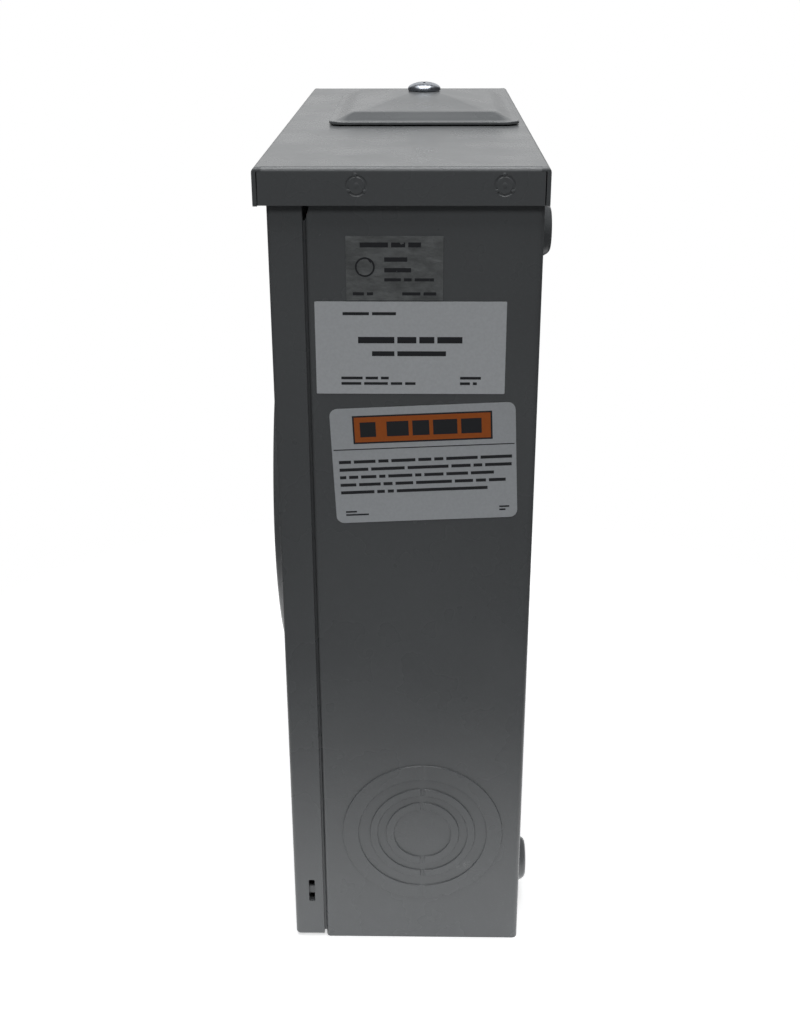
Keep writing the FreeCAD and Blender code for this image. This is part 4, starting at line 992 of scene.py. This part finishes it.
def make_hub_screw(zinc):
    """A truss-head screw with a cross slot."""
    sizes = settings().hub
    centre = middle("hub_plate_screw")
    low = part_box("hub_plate_screw")[0].z
    seat, rim, edge = SCREW_SEAT, HEAD_RIM * MM, HEAD_EDGE * MM
    top, rise = seat + sizes.head_rise, sizes.head_rise - rim
    narrow, long = (value * MM for value in SHANK_TIP)
    section = [(0, low), (sizes.hole - narrow, low), (sizes.hole, low + long), (sizes.hole, seat),
               (sizes.head - edge, seat), (sizes.head, seat + edge), (sizes.head, seat + rim)]
    for step in range(1, HEAD_STEPS):
        turn = math.pi / 2 * step / HEAD_STEPS
        section.append((sizes.head * math.cos(turn), seat + rim + rise * math.sin(turn)))
    section.append((0, top))
    screw = lathe("hub_screw", section, "z", (centre.x, centre.y, 0), ROUND, zinc)
    slots = [block("screw_slot", (centre.x - long * MM, centre.y - wide * MM, top - CROSS_DEPTH * MM),
                   (centre.x + long * MM, centre.y + wide * MM, top + MARGIN)) for long, wide in CROSS]
    boolean(screw, "DIFFERENCE", slots)
    screw.name = "hub_screw"
    return place_piece(screw, "case", "zinc_plate", "hub_plate_screw")


# ---------------------------------------------------------------- labels

# place of the middle, size, tilt in degrees, height of the creases and corner radius, in millimetres
LABELS = {
    "listing": {"at": (-2.6, 329.3), "size": (38.1, 25.4), "tilt": 0.0, "crease": 0.03, "corner": 0.0,
                "stock": "label_foil"},
    "catalogue": {"at": (3.7, 297.1), "size": (76.2, 38.1), "tilt": 0.0, "crease": 0.0, "corner": 0.4,
                  "stock": "label_paper"},
    "notice": {"at": (9.5, 247.6), "size": (76.2, 50.8), "tilt": 2.6, "crease": 0.0, "corner": 3.2,
               "stock": "notice_paper"},
}
# waves whose sum makes the film's creases: turns per millimetre across and up, and shift
CREASES = ((1.10, 0.42, 0.3), (-0.55, 1.25, 1.9), (0.35, -0.95, 4.1), (1.7, 1.3, 2.2))
FILM_CELL = 0.9
STOCK, INK, PANEL = range(3)      # a label's material slots
# rows of printed bars: left, middle height, bar height, then the bars' lengths, in label millimetres
BARS = {
    "listing": ((-13.5, 9.3, 1.9, (11.0, 5.5, 5.0)), (-4.0, 3.6, 1.7, (9.0,)), (-4.0, -0.6, 1.7, (10.5,)),
                (-4.0, -4.4, 1.2, (6.5, 3.0, 7.6)), (-16.5, -10.0, 1.2, (4.4, 2.4)),
                (3.0, -10.0, 1.2, (7.2, 5.0))),
    "catalogue": ((-27.0, 14.2, 1.2, (10.5, 9.5)), (-21.0, 3.4, 2.6, (14.5, 7.6, 6.0, 10.0)),
                  (-15.5, -2.2, 2.0, (9.0, 19.5)), (-28.0, -12.4, 1.1, (8.6, 5.0, 3.2)),
                  (-28.0, -14.7, 1.1, (8.0, 9.6, 4.6, 4.2)), (20.0, -12.4, 1.1, (8.4,)),
                  (20.0, -14.7, 1.1, (4.0, 1.6))),
    "notice": ((-35.5, 2.0, 1.35, (5.0, 9.0, 4.2, 10.0, 5.4, 3.8, 13.0, 13.0)),
               (-35.5, -1.4, 1.35, (12.0, 14.0, 17.0, 8.0, 3.6, 11.0)),
               (-35.5, -4.8, 1.35, (2.6, 3.8, 6.4, 2.6, 10.0, 2.6, 8.0, 9.0, 9.6)),
               (-35.5, -8.2, 1.35, (6.6, 9.0, 3.8, 7.4, 15.0, 7.6, 4.2, 7.0)),
               (-35.5, -11.6, 1.35, (14.0, 3.2, 2.6, 38.0)),
               (-34.0, -20.4, 0.7, (4.6,)), (-34.0, -21.8, 0.7, (9.6,)), (30.6, -20.4, 0.7, (4.2,)),
               (30.6, -21.8, 0.7, (2.6,))),
}
BAR_GAP = 1.2
LABEL_BACK, LABEL_FACE = -0.02, 0.15      # off the wall, in millimetres
PRINT_BACK, PRINT_LIFT = 0.10, 0.03
FIELD = {"at": (-0.2, 16.0), "size": (57.4, 12.2), "border": 0.7, "rise": 3.2, "line": (7.3, 7.7),
         "blocks": ((3.0, 9.5), (14.0, 23.0), (24.6, 31.5), (33.1, 43.0), (44.6, 53.0))}
RING = {"at": (-11.6, 0.6), "radii": (3.9, 3.2)}


def label_frame(name):
    """Turns label millimetres, and a lift off the wall, into a place on the right side."""
    label = LABELS[name]
    turn = math.radians(label["tilt"])
    across, height = label["at"]

    def place(u, v, lift):
        return Vector((CASE_HALF + lift * MM, (across + u * math.cos(turn) - v * math.sin(turn)) * MM,
                       (height + u * math.sin(turn) + v * math.cos(turn)) * MM))
    return place


def ripple(name, u, v):
    """How far a label stands off the wall, from the creases in its film."""
    crease = sum(math.sin(u * across + v * up + shift) for across, up, shift in CREASES)
    return LABELS[name]["crease"] * (1 + crease / len(CREASES)) ** 2


def plate(bm, place, outline, low, high, material, name):
    """A thin closed plate with a given outline, standing from low to high off the wall."""
    rows = [[bm.verts.new(place(u, v, lift + ripple(name, u, v))) for u, v in outline]
            for lift in (low, high)]
    for face in [*bridge(bm, [rows]), bm.faces.new(rows[0][::-1]), bm.faces.new(rows[1])]:
        face.material_index = material


def film(bm, place, wide, tall, name):
    """A thin closed rectangle whose front follows the creases."""
    columns, rows = round(wide / FILM_CELL), round(tall / FILM_CELL)
    grid = []
    for row in range(rows + 1):
        v = (row / rows - 0.5) * tall
        across = [(column / columns - 0.5) * wide for column in range(columns + 1)]
        grid.append([bm.verts.new(place(u, v, LABEL_FACE + ripple(name, u, v))) for u in across])
    for lower, upper in zip(grid, grid[1:]):
        for corners in zip(lower, lower[1:], upper[1:], upper):
            bm.faces.new(corners)
    rim = grid[0] + [row[-1] for row in grid[1:]] + grid[-1][-2::-1] + [row[0] for row in grid[-2:0:-1]]
    back = [bm.verts.new((CASE_HALF + LABEL_BACK * MM, v.co.y, v.co.z)) for v in rim]
    bridge(bm, [(back, rim)])
    bm.faces.new(back[::-1])


def printed(bm, place, name, left, right, low, high, material, layer=1):
    """A printed rectangle that follows the label's surface."""
    count = max(1, round((right - left) / FILM_CELL)) if LABELS[name]["crease"] else 1
    bottom = [(left + (right - left) * i / count, low) for i in range(count + 1)]
    outline = bottom + [(u, high) for u, _ in bottom[::-1]]
    plate(bm, place, outline, PRINT_BACK, LABEL_FACE + PRINT_LIFT * layer, material, name)


def print_field(bm, place, name, wide):
    """The notice label's orange panel with dark blocks in it, and the line below."""
    (u, v), (field_wide, field_tall), border = FIELD["at"], FIELD["size"], FIELD["border"]
    reach, rise = field_wide / 2, field_tall / 2
    printed(bm, place, name, u - reach, u + reach, v - rise, v + rise, INK)
    printed(bm, place, name, u - reach + border, u + reach - border, v - rise + border,
            v + rise - border, PANEL, layer=2)
    for left, right in FIELD["blocks"]:
        printed(bm, place, name, u - reach + left, u - reach + right, v - FIELD["rise"], v + FIELD["rise"],
                INK, layer=3)
    low, high = FIELD["line"]
    printed(bm, place, name, -wide / 2 + border, wide / 2 - border, low, high, INK)


def print_ring(bm, place, name):
    """The round outline on the listing label."""
    for layer, (radius, material) in enumerate(zip(RING["radii"], (INK, STOCK)), 1):
        plate(bm, place, circle(radius, 32, RING["at"]), PRINT_BACK, LABEL_FACE + PRINT_LIFT * layer,
              material, name)


def make_label(name):
    """A label with its printed bars, blocks and ring, stuck on the right side."""
    label = LABELS[name]
    place = label_frame(name)
    wide, tall = label["size"]
    bm = bmesh.new()
    if label["crease"]:
        film(bm, place, wide, tall, name)
    else:
        outline = rounded_rectangle((0, 0), (wide / 2, tall / 2), label["corner"], 5)
        plate(bm, place, outline, LABEL_BACK, LABEL_FACE, STOCK, name)
    for left, height, tall_bar, bars in BARS[name]:
        start = left
        for bar in bars:
            printed(bm, place, name, start, start + bar, height - tall_bar / 2, height + tall_bar / 2,
                    INK)
            start += bar + BAR_GAP
    materials = [finish_of(label["stock"]), finish_of("label_ink")]
    if name == "notice":
        print_field(bm, place, name, wide)
        materials.append(finish_of("panel_orange"))
    if name == "listing":
        print_ring(bm, place, name)
    thing = mesh_object(f"{name}_sticker", bm, *materials)
    return place_piece(thing, "case", label["stock"], f"{name}_label")


# ---------------------------------------------------------------- fasteners, as a node tree

SCREW_INPUTS = ("Head radius", "Head rise", "Shank radius", "Shank length", "Slot width", "Slot depth")
SCREW_GROUPS = ("rail_screws", "jaw_bolts", "block_screws", "rest_screws", "neutral_bolts")
SCREW_WAY = Vector((0, -1, 0))    # the heads face the front
SCREW_SLOT = 1.1                  # width of the driver slot, in millimetres
HEAD_SEGMENTS, HEAD_RINGS, SHANK_SIDES = 28, 16, 20
RISE_BY_RADIUS, RISE_BY_LENGTH = 0.75, 0.55      # a head's rise is the lesser of these two parts
SHANK_SHARE, SLOT_SHARE = 0.55, 0.45      # the shank's radius in head radii and the slot's depth in rises


def screw_tree(material):
    """Screws on the points of a mesh: shank, domed head and slot, turned to the points' normals."""
    tree = bpy.data.node_groups.new("slotted_screws", "GeometryNodeTree")
    tree.interface.new_socket("Places", in_out="INPUT", socket_type="NodeSocketGeometry")
    tree.interface.new_socket("Screws", in_out="OUTPUT", socket_type="NodeSocketGeometry")
    for name in SCREW_INPUTS:
        tree.interface.new_socket(name, in_out="INPUT", socket_type="NodeSocketFloat")
    tree.interface.new_socket("Turn", in_out="INPUT", socket_type="NodeSocketVector")
    source = tree.nodes.new("NodeGroupInput")
    sink = tree.nodes.new("NodeGroupOutput")
    link = tree.links.new

    def node(kind, links=(), **values):
        made = tree.nodes.new(kind)
        for name, value in values.items():
            setattr(made, name, value)
        for socket, origin in links:
            link(origin, made.inputs[socket])
        return made

    def along_z(first, second, third):
        return node("ShaderNodeCombineXYZ", [(i, origin) for i, origin in enumerate((first, second, third))
                                             if origin is not None]).outputs[0]

    def times(origin, factor):
        made = node("ShaderNodeMath", [(0, origin)], operation="MULTIPLY")
        made.inputs[1].default_value = factor
        return made.outputs[0]

    head_radius, head_rise, shank_radius, shank_long, slot_wide, slot_deep = \
        (source.outputs[name] for name in SCREW_INPUTS)
    ball = node("GeometryNodeMeshUVSphere")
    ball.inputs["Segments"].default_value = HEAD_SEGMENTS
    ball.inputs["Rings"].default_value = HEAD_RINGS
    ball.inputs["Radius"].default_value = 1.0
    squashed = node("GeometryNodeTransform", [("Geometry", ball.outputs[0]),
                                              ("Scale", along_z(head_radius, head_radius, head_rise))])
    shank = node("GeometryNodeMeshCylinder", [("Radius", shank_radius), ("Depth", shank_long)])
    shank.inputs["Vertices"].default_value = SHANK_SIDES
    lowered = node("GeometryNodeTransform", [("Geometry", shank.outputs[0]),
                                             ("Translation", along_z(None, None, times(shank_long, -0.5)))])
    under = node("GeometryNodeMeshCube", [("Size", along_z(times(head_radius, 3), times(head_radius, 3),
                                                           times(head_rise, 2)))])
    under_low = node("GeometryNodeTransform", [("Geometry", under.outputs[0]),
                                               ("Translation", along_z(None, None, times(head_rise, -1)))])
    slot = node("GeometryNodeMeshCube", [("Size", along_z(times(head_radius, 3), slot_wide,
                                                          times(slot_deep, 2)))])
    slot_high = node("GeometryNodeTransform", [("Geometry", slot.outputs[0]),
                                               ("Translation", along_z(None, None, head_rise))])
    head = node("GeometryNodeMeshBoolean", [("Mesh 1", squashed.outputs[0])], operation="DIFFERENCE")
    link(slot_high.outputs[0], head.inputs["Mesh 2"])
    link(under_low.outputs[0], head.inputs["Mesh 2"])
    whole = node("GeometryNodeJoinGeometry", [(0, head.outputs[0])])
    link(lowered.outputs[0], whole.inputs[0])
    spread = node("GeometryNodeInstanceOnPoints", [("Points", source.outputs["Places"]),
                                                   ("Instance", whole.outputs[0]),
                                                   ("Rotation", source.outputs["Turn"])])
    real = node("GeometryNodeRealizeInstances", [(0, spread.outputs[0])])
    painted = node("GeometryNodeSetMaterial", [(0, real.outputs[0])])
    painted.inputs["Material"].default_value = material
    link(painted.outputs[0], sink.inputs[0])
    return tree


def islands(node):
    """Lowest and highest corner of each separate solid of a CAD node."""
    bm = bmesh.new()
    bm.from_mesh(frame["nodes"][node].data)
    bmesh.ops.remove_doubles(bm, verts=bm.verts, dist=ISLAND_WELD)
    left, found = set(bm.verts), []
    while left:
        edge, seen = [left.pop()], []
        while edge:
            vert = edge.pop()
            seen.append(vert.co.copy())
            for other in (e.other_vert(vert) for e in vert.link_edges):
                if other in left:
                    left.remove(other)
                    edge.append(other)
        low = Vector(min(co[i] for co in seen) for i in range(3))
        high = Vector(max(co[i] for co in seen) for i in range(3))
        found.append((low, high))
    bm.free()
    return sorted(found, key=lambda pair: tuple(round(value, 5) for value in pair[0]))


def make_screws(node):
    """Replaces the plain heads of a CAD group by slotted screws at the same places."""
    boxes = islands(node)
    low, high = boxes[0]
    head = (high.x - low.x) / 2
    span = high.y - low.y
    rise = min(head * RISE_BY_RADIUS, span * RISE_BY_LENGTH)
    bm = bmesh.new()
    for low, high in boxes:
        seat = (low + high) / 2
        seat.y = low.y + rise
        bm.verts.new(seat)
    mesh = bpy.data.meshes.new(f"{node}_fine")
    bm.to_mesh(mesh)
    bm.free()
    thing = bpy.data.objects.new(f"{node}_fine", mesh)
    bpy.context.collection.objects.link(thing)
    tree = screw_tree(finish_of("zinc_plate"))
    step = thing.modifiers.new("screws", "NODES")
    step.node_group = tree
    sizes = dict(zip(SCREW_INPUTS, (head, rise, head * SHANK_SHARE, span - rise, SCREW_SLOT * MM,
                                    rise * SLOT_SHARE)))
    sizes["Turn"] = tuple(SCREW_WAY.to_track_quat("Z", "Y").to_euler())
    for item in tree.interface.items_tree:
        if item.name in sizes:
            step[item.identifier] = sizes[item.name]
    settle(thing)
    soften(thing)
    return place_piece(thing, "case", "zinc_plate", node)


# ---------------------------------------------------------------- hasp

# in millimetres
HASP_GAP = 0.3                    # between the strap and the cover's face
HASP_TOP = 1.4                    # how far the strap's top stays below the pin
HASP_LIFT = 4.5                   # height of the turned-up lift
HASP_BENDS = (2.2, 2.0)
SHOULDER = (6.0, 1.0, 4.2, 1.2)   # half width kept, height over the pin, half height and corner radius
HASP_SLOT = (3.0, 11.5, 26.5)     # half width, low and high
SLOT_CORNER = 1.0
KNUCKLE_BORE, KNUCKLE_RADIUS, KNUCKLE_HALF = 1.05, 1.8, 6.0


def make_hasp(zinc):
    """The hinged hasp: strap, curled knuckle and turned-up lift, with its slot for the staple."""
    low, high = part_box("hasp_plate")
    pin = middle("hasp_hinge_pin")
    back = COVER_FACE - HASP_GAP * MM
    half = high.x
    face = [(back, pin.z - HASP_TOP * MM), (back, low.z), (low.y, low.z), (low.y, low.z + HASP_LIFT * MM)]
    outline = bent_sheet(face, [radius * MM for radius in HASP_BENDS], -SHEET * MM)
    strap = prism("hasp", outline, "x", -half, half, zinc)
    cuts = []
    kept, over, tall, corner = (value * MM for value in SHOULDER)
    for sign in SIDES:
        near, far = on_side(sign, kept, half + MARGIN)
        outline = rounded_rectangle(((near + far) / 2, pin.z + over), ((far - near) / 2, tall), corner)
        cuts.append(prism("shoulder", outline, "y", low.y - MARGIN, back + 2 * MM))
    wide, foot, top = (value * MM for value in HASP_SLOT)
    slot = rounded_rectangle((0, (foot + top) / 2), (wide, (top - foot) / 2), SLOT_CORNER * MM)
    cuts.append(prism("hasp_slot", slot, "y", low.y + 2.5 * MM, back + MARGIN))
    boolean(strap, "DIFFERENCE", cuts)
    bore, outer, reach = (value * MM for value in (KNUCKLE_BORE, KNUCKLE_RADIUS, KNUCKLE_HALF))
    centre = (0, pin.y, pin.z)
    ring = [(bore, -reach), (outer, -reach), (outer, reach), (bore, reach)]
    boolean(strap, "UNION", [lathe("hasp_knuckle", ring, "x", centre, SMALL_ROUND, zinc)])
    boolean(strap, "DIFFERENCE", [rod("hasp_bore", bore, "x", -1.5 * reach, 1.5 * reach, centre,
                                    SMALL_ROUND)])
    strap.name = "hasp"
    return place_piece(strap, "hasp", "zinc_plate", "hasp_plate")


# ---------------------------------------------------------------- CAD nodes that keep their shape

def dress_frame():
    """Gives every CAD node the finish of its slot."""
    for part in frame["record"]["subparts"]:
        thing = frame["nodes"][part["node"]]
        thing.data.materials.clear()
        thing.data.materials.append(finish_of(part["material_slot"]))


# ---------------------------------------------------------------- stage

WHITE = (1.0, 1.0, 1.0, 1.0)
SKY = (0.97, 0.985, 1.0, 1.0)     # a slightly cool light from all round
FLOOR_OVERLAP = 1.2               # the floor's half width, in radii at which it has faded
# soft lights: place, aim and size in metres
LIGHTS = {
    "overhead": ((-0.05, 0.0, 3.0), (0.0, 0.0, 0.0), (2.2, 2.0)),
    "card": ((-1.7, 0.0, 1.05), (0.0, 0.0, 0.45), (2.2, 1.3)),
    "key": ((1.5, -0.1, 2.0), (0.15, 0.0, 0.15), (2.4, 0.6)),
}
SENSOR = 36.0                     # the camera's sensor width, in millimetres


def make_floor():
    """A pale floor that fades into the plain background."""
    stage = settings().stage
    bm = bmesh.new()
    bmesh.ops.create_grid(bm, x_segments=2, y_segments=2, size=stage.floor_fade * FLOOR_OVERLAP)
    floor = mesh_object("floor", bm)
    material, tree, surface = shader("floor_pale", tuple(stage.floor_colour), 0.9)
    surface.inputs["Emission Color"].default_value = WHITE
    surface.inputs["Emission Strength"].default_value = stage.floor_glow
    source = tree.nodes.new("ShaderNodeTexCoord")
    reach = tree.nodes.new("ShaderNodeVectorMath")
    reach.operation = "LENGTH"
    tree.links.new(source.outputs["Object"], reach.inputs[0])
    fade = remap(tree, reach.outputs["Value"], stage.floor_pool, stage.floor_fade)
    clear = tree.nodes.new("ShaderNodeBsdfTransparent")
    mix = tree.nodes.new("ShaderNodeMixShader")
    tree.links.new(fade, mix.inputs["Fac"])
    tree.links.new(surface.outputs[0], mix.inputs[1])
    tree.links.new(clear.outputs[0], mix.inputs[2])
    tree.links.new(mix.outputs[0], tree.nodes["Material Output"].inputs["Surface"])
    floor.data.materials.append(material)


def make_world():
    """Dim light from all round, and a plain bright background for the camera."""
    stage = settings().stage
    world = bpy.data.worlds.new("studio")
    bpy.context.scene.world = world
    world.use_nodes = True
    tree = world.node_tree
    ambient = tree.nodes["Background"]
    ambient.inputs["Color"].default_value = SKY
    ambient.inputs["Strength"].default_value = stage.ambient
    seen = tree.nodes.new("ShaderNodeBackground")
    seen.inputs["Color"].default_value = WHITE
    seen.inputs["Strength"].default_value = stage.backdrop
    ray = tree.nodes.new("ShaderNodeLightPath")
    mix = tree.nodes.new("ShaderNodeMixShader")
    tree.links.new(ray.outputs["Is Camera Ray"], mix.inputs["Fac"])
    tree.links.new(ambient.outputs[0], mix.inputs[1])
    tree.links.new(seen.outputs[0], mix.inputs[2])
    tree.links.new(mix.outputs[0], tree.nodes["World Output"].inputs["Surface"])


def soft_light(name, place, aim, size, power):
    """A rectangular area light turned towards a place; the camera doesn't see it."""
    data = bpy.data.lights.new(name, "AREA")
    data.shape = "RECTANGLE"
    data.size, data.size_y = size
    data.energy = power
    light = bpy.data.objects.new(name, data)
    light.location = place
    light.rotation_euler = (Vector(aim) - Vector(place)).to_track_quat("-Z", "Y").to_euler()
    light.visible_camera = False
    bpy.context.collection.objects.link(light)


def make_lights():
    stage = settings().stage
    for name, (place, aim, size) in LIGHTS.items():
        soft_light(name, place, aim, size, getattr(stage, name))


def make_camera():
    """The camera at its place, looking across and down at the right side."""
    stage = settings().stage
    data = bpy.data.cameras.new("camera")
    data.sensor_width, data.lens = SENSOR, stage.lens
    camera = bpy.data.objects.new("camera", data)
    level_part = math.cos(stage.pitch)
    ahead = Vector((-level_part * math.cos(stage.yaw), level_part * math.sin(stage.yaw),
                    -math.sin(stage.pitch)))
    right = ahead.cross(Vector((0, 0, 1))).normalized()
    up = right.cross(ahead)
    rolled = right * math.cos(stage.roll) + up * math.sin(stage.roll)
    turned = Matrix((rolled, rolled.cross(ahead), -ahead)).transposed()
    camera.matrix_world = Matrix.Translation((stage.distance, stage.across, stage.height)) @ \
        turned.to_4x4()
    bpy.context.collection.objects.link(camera)
    bpy.context.scene.camera = camera
    bpy.context.scene.view_settings.view_transform = "Standard"


# ---------------------------------------------------------------- operators and panel

class ENCLOSURE_OT_finishes(bpy.types.Operator):
    """Makes every material of the enclosure"""
    bl_idname = "enclosure.finishes"
    bl_label = "Finishes"

    def execute(self, context):
        make_finishes()
        return {"FINISHED"}


class ENCLOSURE_OT_case(bpy.types.Operator):
    """Builds the bent case with its pads, lips and knockouts"""
    bl_idname = "enclosure.case"
    bl_label = "Case"

    def execute(self, context):
        make_case(finish_of("grey_enamel"))
        return {"FINISHED"}


class ENCLOSURE_OT_hood(bpy.types.Operator):
    """Folds the hood and presses its clinched joints"""
    bl_idname = "enclosure.hood"
    bl_label = "Hood"

    def execute(self, context):
        make_hood(finish_of("grey_enamel"))
        return {"FINISHED"}


class ENCLOSURE_OT_cover(bpy.types.Operator):
    """Builds the front cover with its raised meter ring"""
    bl_idname = "enclosure.cover"
    bl_label = "Cover"

    def execute(self, context):
        make_cover(finish_of("grey_enamel"))
        return {"FINISHED"}


class ENCLOSURE_OT_hub(bpy.types.Operator):
    """Builds the hub closing plate and its screw"""
    bl_idname = "enclosure.hub"
    bl_label = "Hub plate"

    def execute(self, context):
        make_hub_plate(finish_of("grey_enamel"))
        make_hub_screw(finish_of("zinc_plate"))
        return {"FINISHED"}


class ENCLOSURE_OT_labels(bpy.types.Operator):
    """Sticks the three labels on the right side"""
    bl_idname = "enclosure.labels"
    bl_label = "Labels"

    def execute(self, context):
        for name in LABELS:
            make_label(name)
        return {"FINISHED"}


class ENCLOSURE_OT_hasp(bpy.types.Operator):
    """Builds the hasp that locks the cover"""
    bl_idname = "enclosure.hasp"
    bl_label = "Hasp"

    def execute(self, context):
        make_hasp(finish_of("zinc_plate"))
        return {"FINISHED"}


class ENCLOSURE_OT_screws(bpy.types.Operator):
    """Puts slotted screws in place of the plain ones"""
    bl_idname = "enclosure.screws"
    bl_label = "Screws"

    def execute(self, context):
        for node in SCREW_GROUPS:
            make_screws(node)
        return {"FINISHED"}


class ENCLOSURE_OT_frame(bpy.types.Operator):
    """Gives the inner parts their finishes"""
    bl_idname = "enclosure.frame"
    bl_label = "Inner parts"

    def execute(self, context):
        dress_frame()
        return {"FINISHED"}


class ENCLOSURE_OT_stage(bpy.types.Operator):
    """Sets up the floor, the lights, the background and the camera"""
    bl_idname = "enclosure.stage"
    bl_label = "Stage"

    def execute(self, context):
        make_floor()
        make_world()
        make_lights()
        make_camera()
        return {"FINISHED"}


STEPS = ("finishes", "frame", "case", "hood", "cover", "hub", "labels", "hasp", "screws", "stage")


class ENCLOSURE_PT_sidebar(bpy.types.Panel):
    """Lists the steps in the order that they run"""
    bl_idname = "ENCLOSURE_PT_sidebar"
    bl_label = "Enclosure"
    bl_space_type = "VIEW_3D"
    bl_region_type = "UI"
    bl_category = "Enclosure"

    def draw(self, context):
        for step in STEPS:
            self.layout.operator(f"enclosure.{step}")


CLASSES = (
    SheetSizes, KnockoutSizes, CoverSizes, HubPlateSizes, FinishColours, StageSettings,
    EnclosureSettings, ENCLOSURE_OT_finishes, ENCLOSURE_OT_frame, ENCLOSURE_OT_case,
    ENCLOSURE_OT_hood, ENCLOSURE_OT_cover, ENCLOSURE_OT_hub, ENCLOSURE_OT_labels, ENCLOSURE_OT_hasp,
    ENCLOSURE_OT_screws, ENCLOSURE_OT_stage, ENCLOSURE_PT_sidebar,
)


def register():
    for item in CLASSES:
        bpy.utils.register_class(item)
    bpy.types.Scene.enclosure = PointerProperty(type=EnclosureSettings)


def unregister():
    del bpy.types.Scene.enclosure
    for item in reversed(CLASSES):
        bpy.utils.unregister_class(item)


def main():
    register()
    for step in STEPS:
        getattr(bpy.ops.enclosure, step)()


if __name__ == "__main__":
    main()
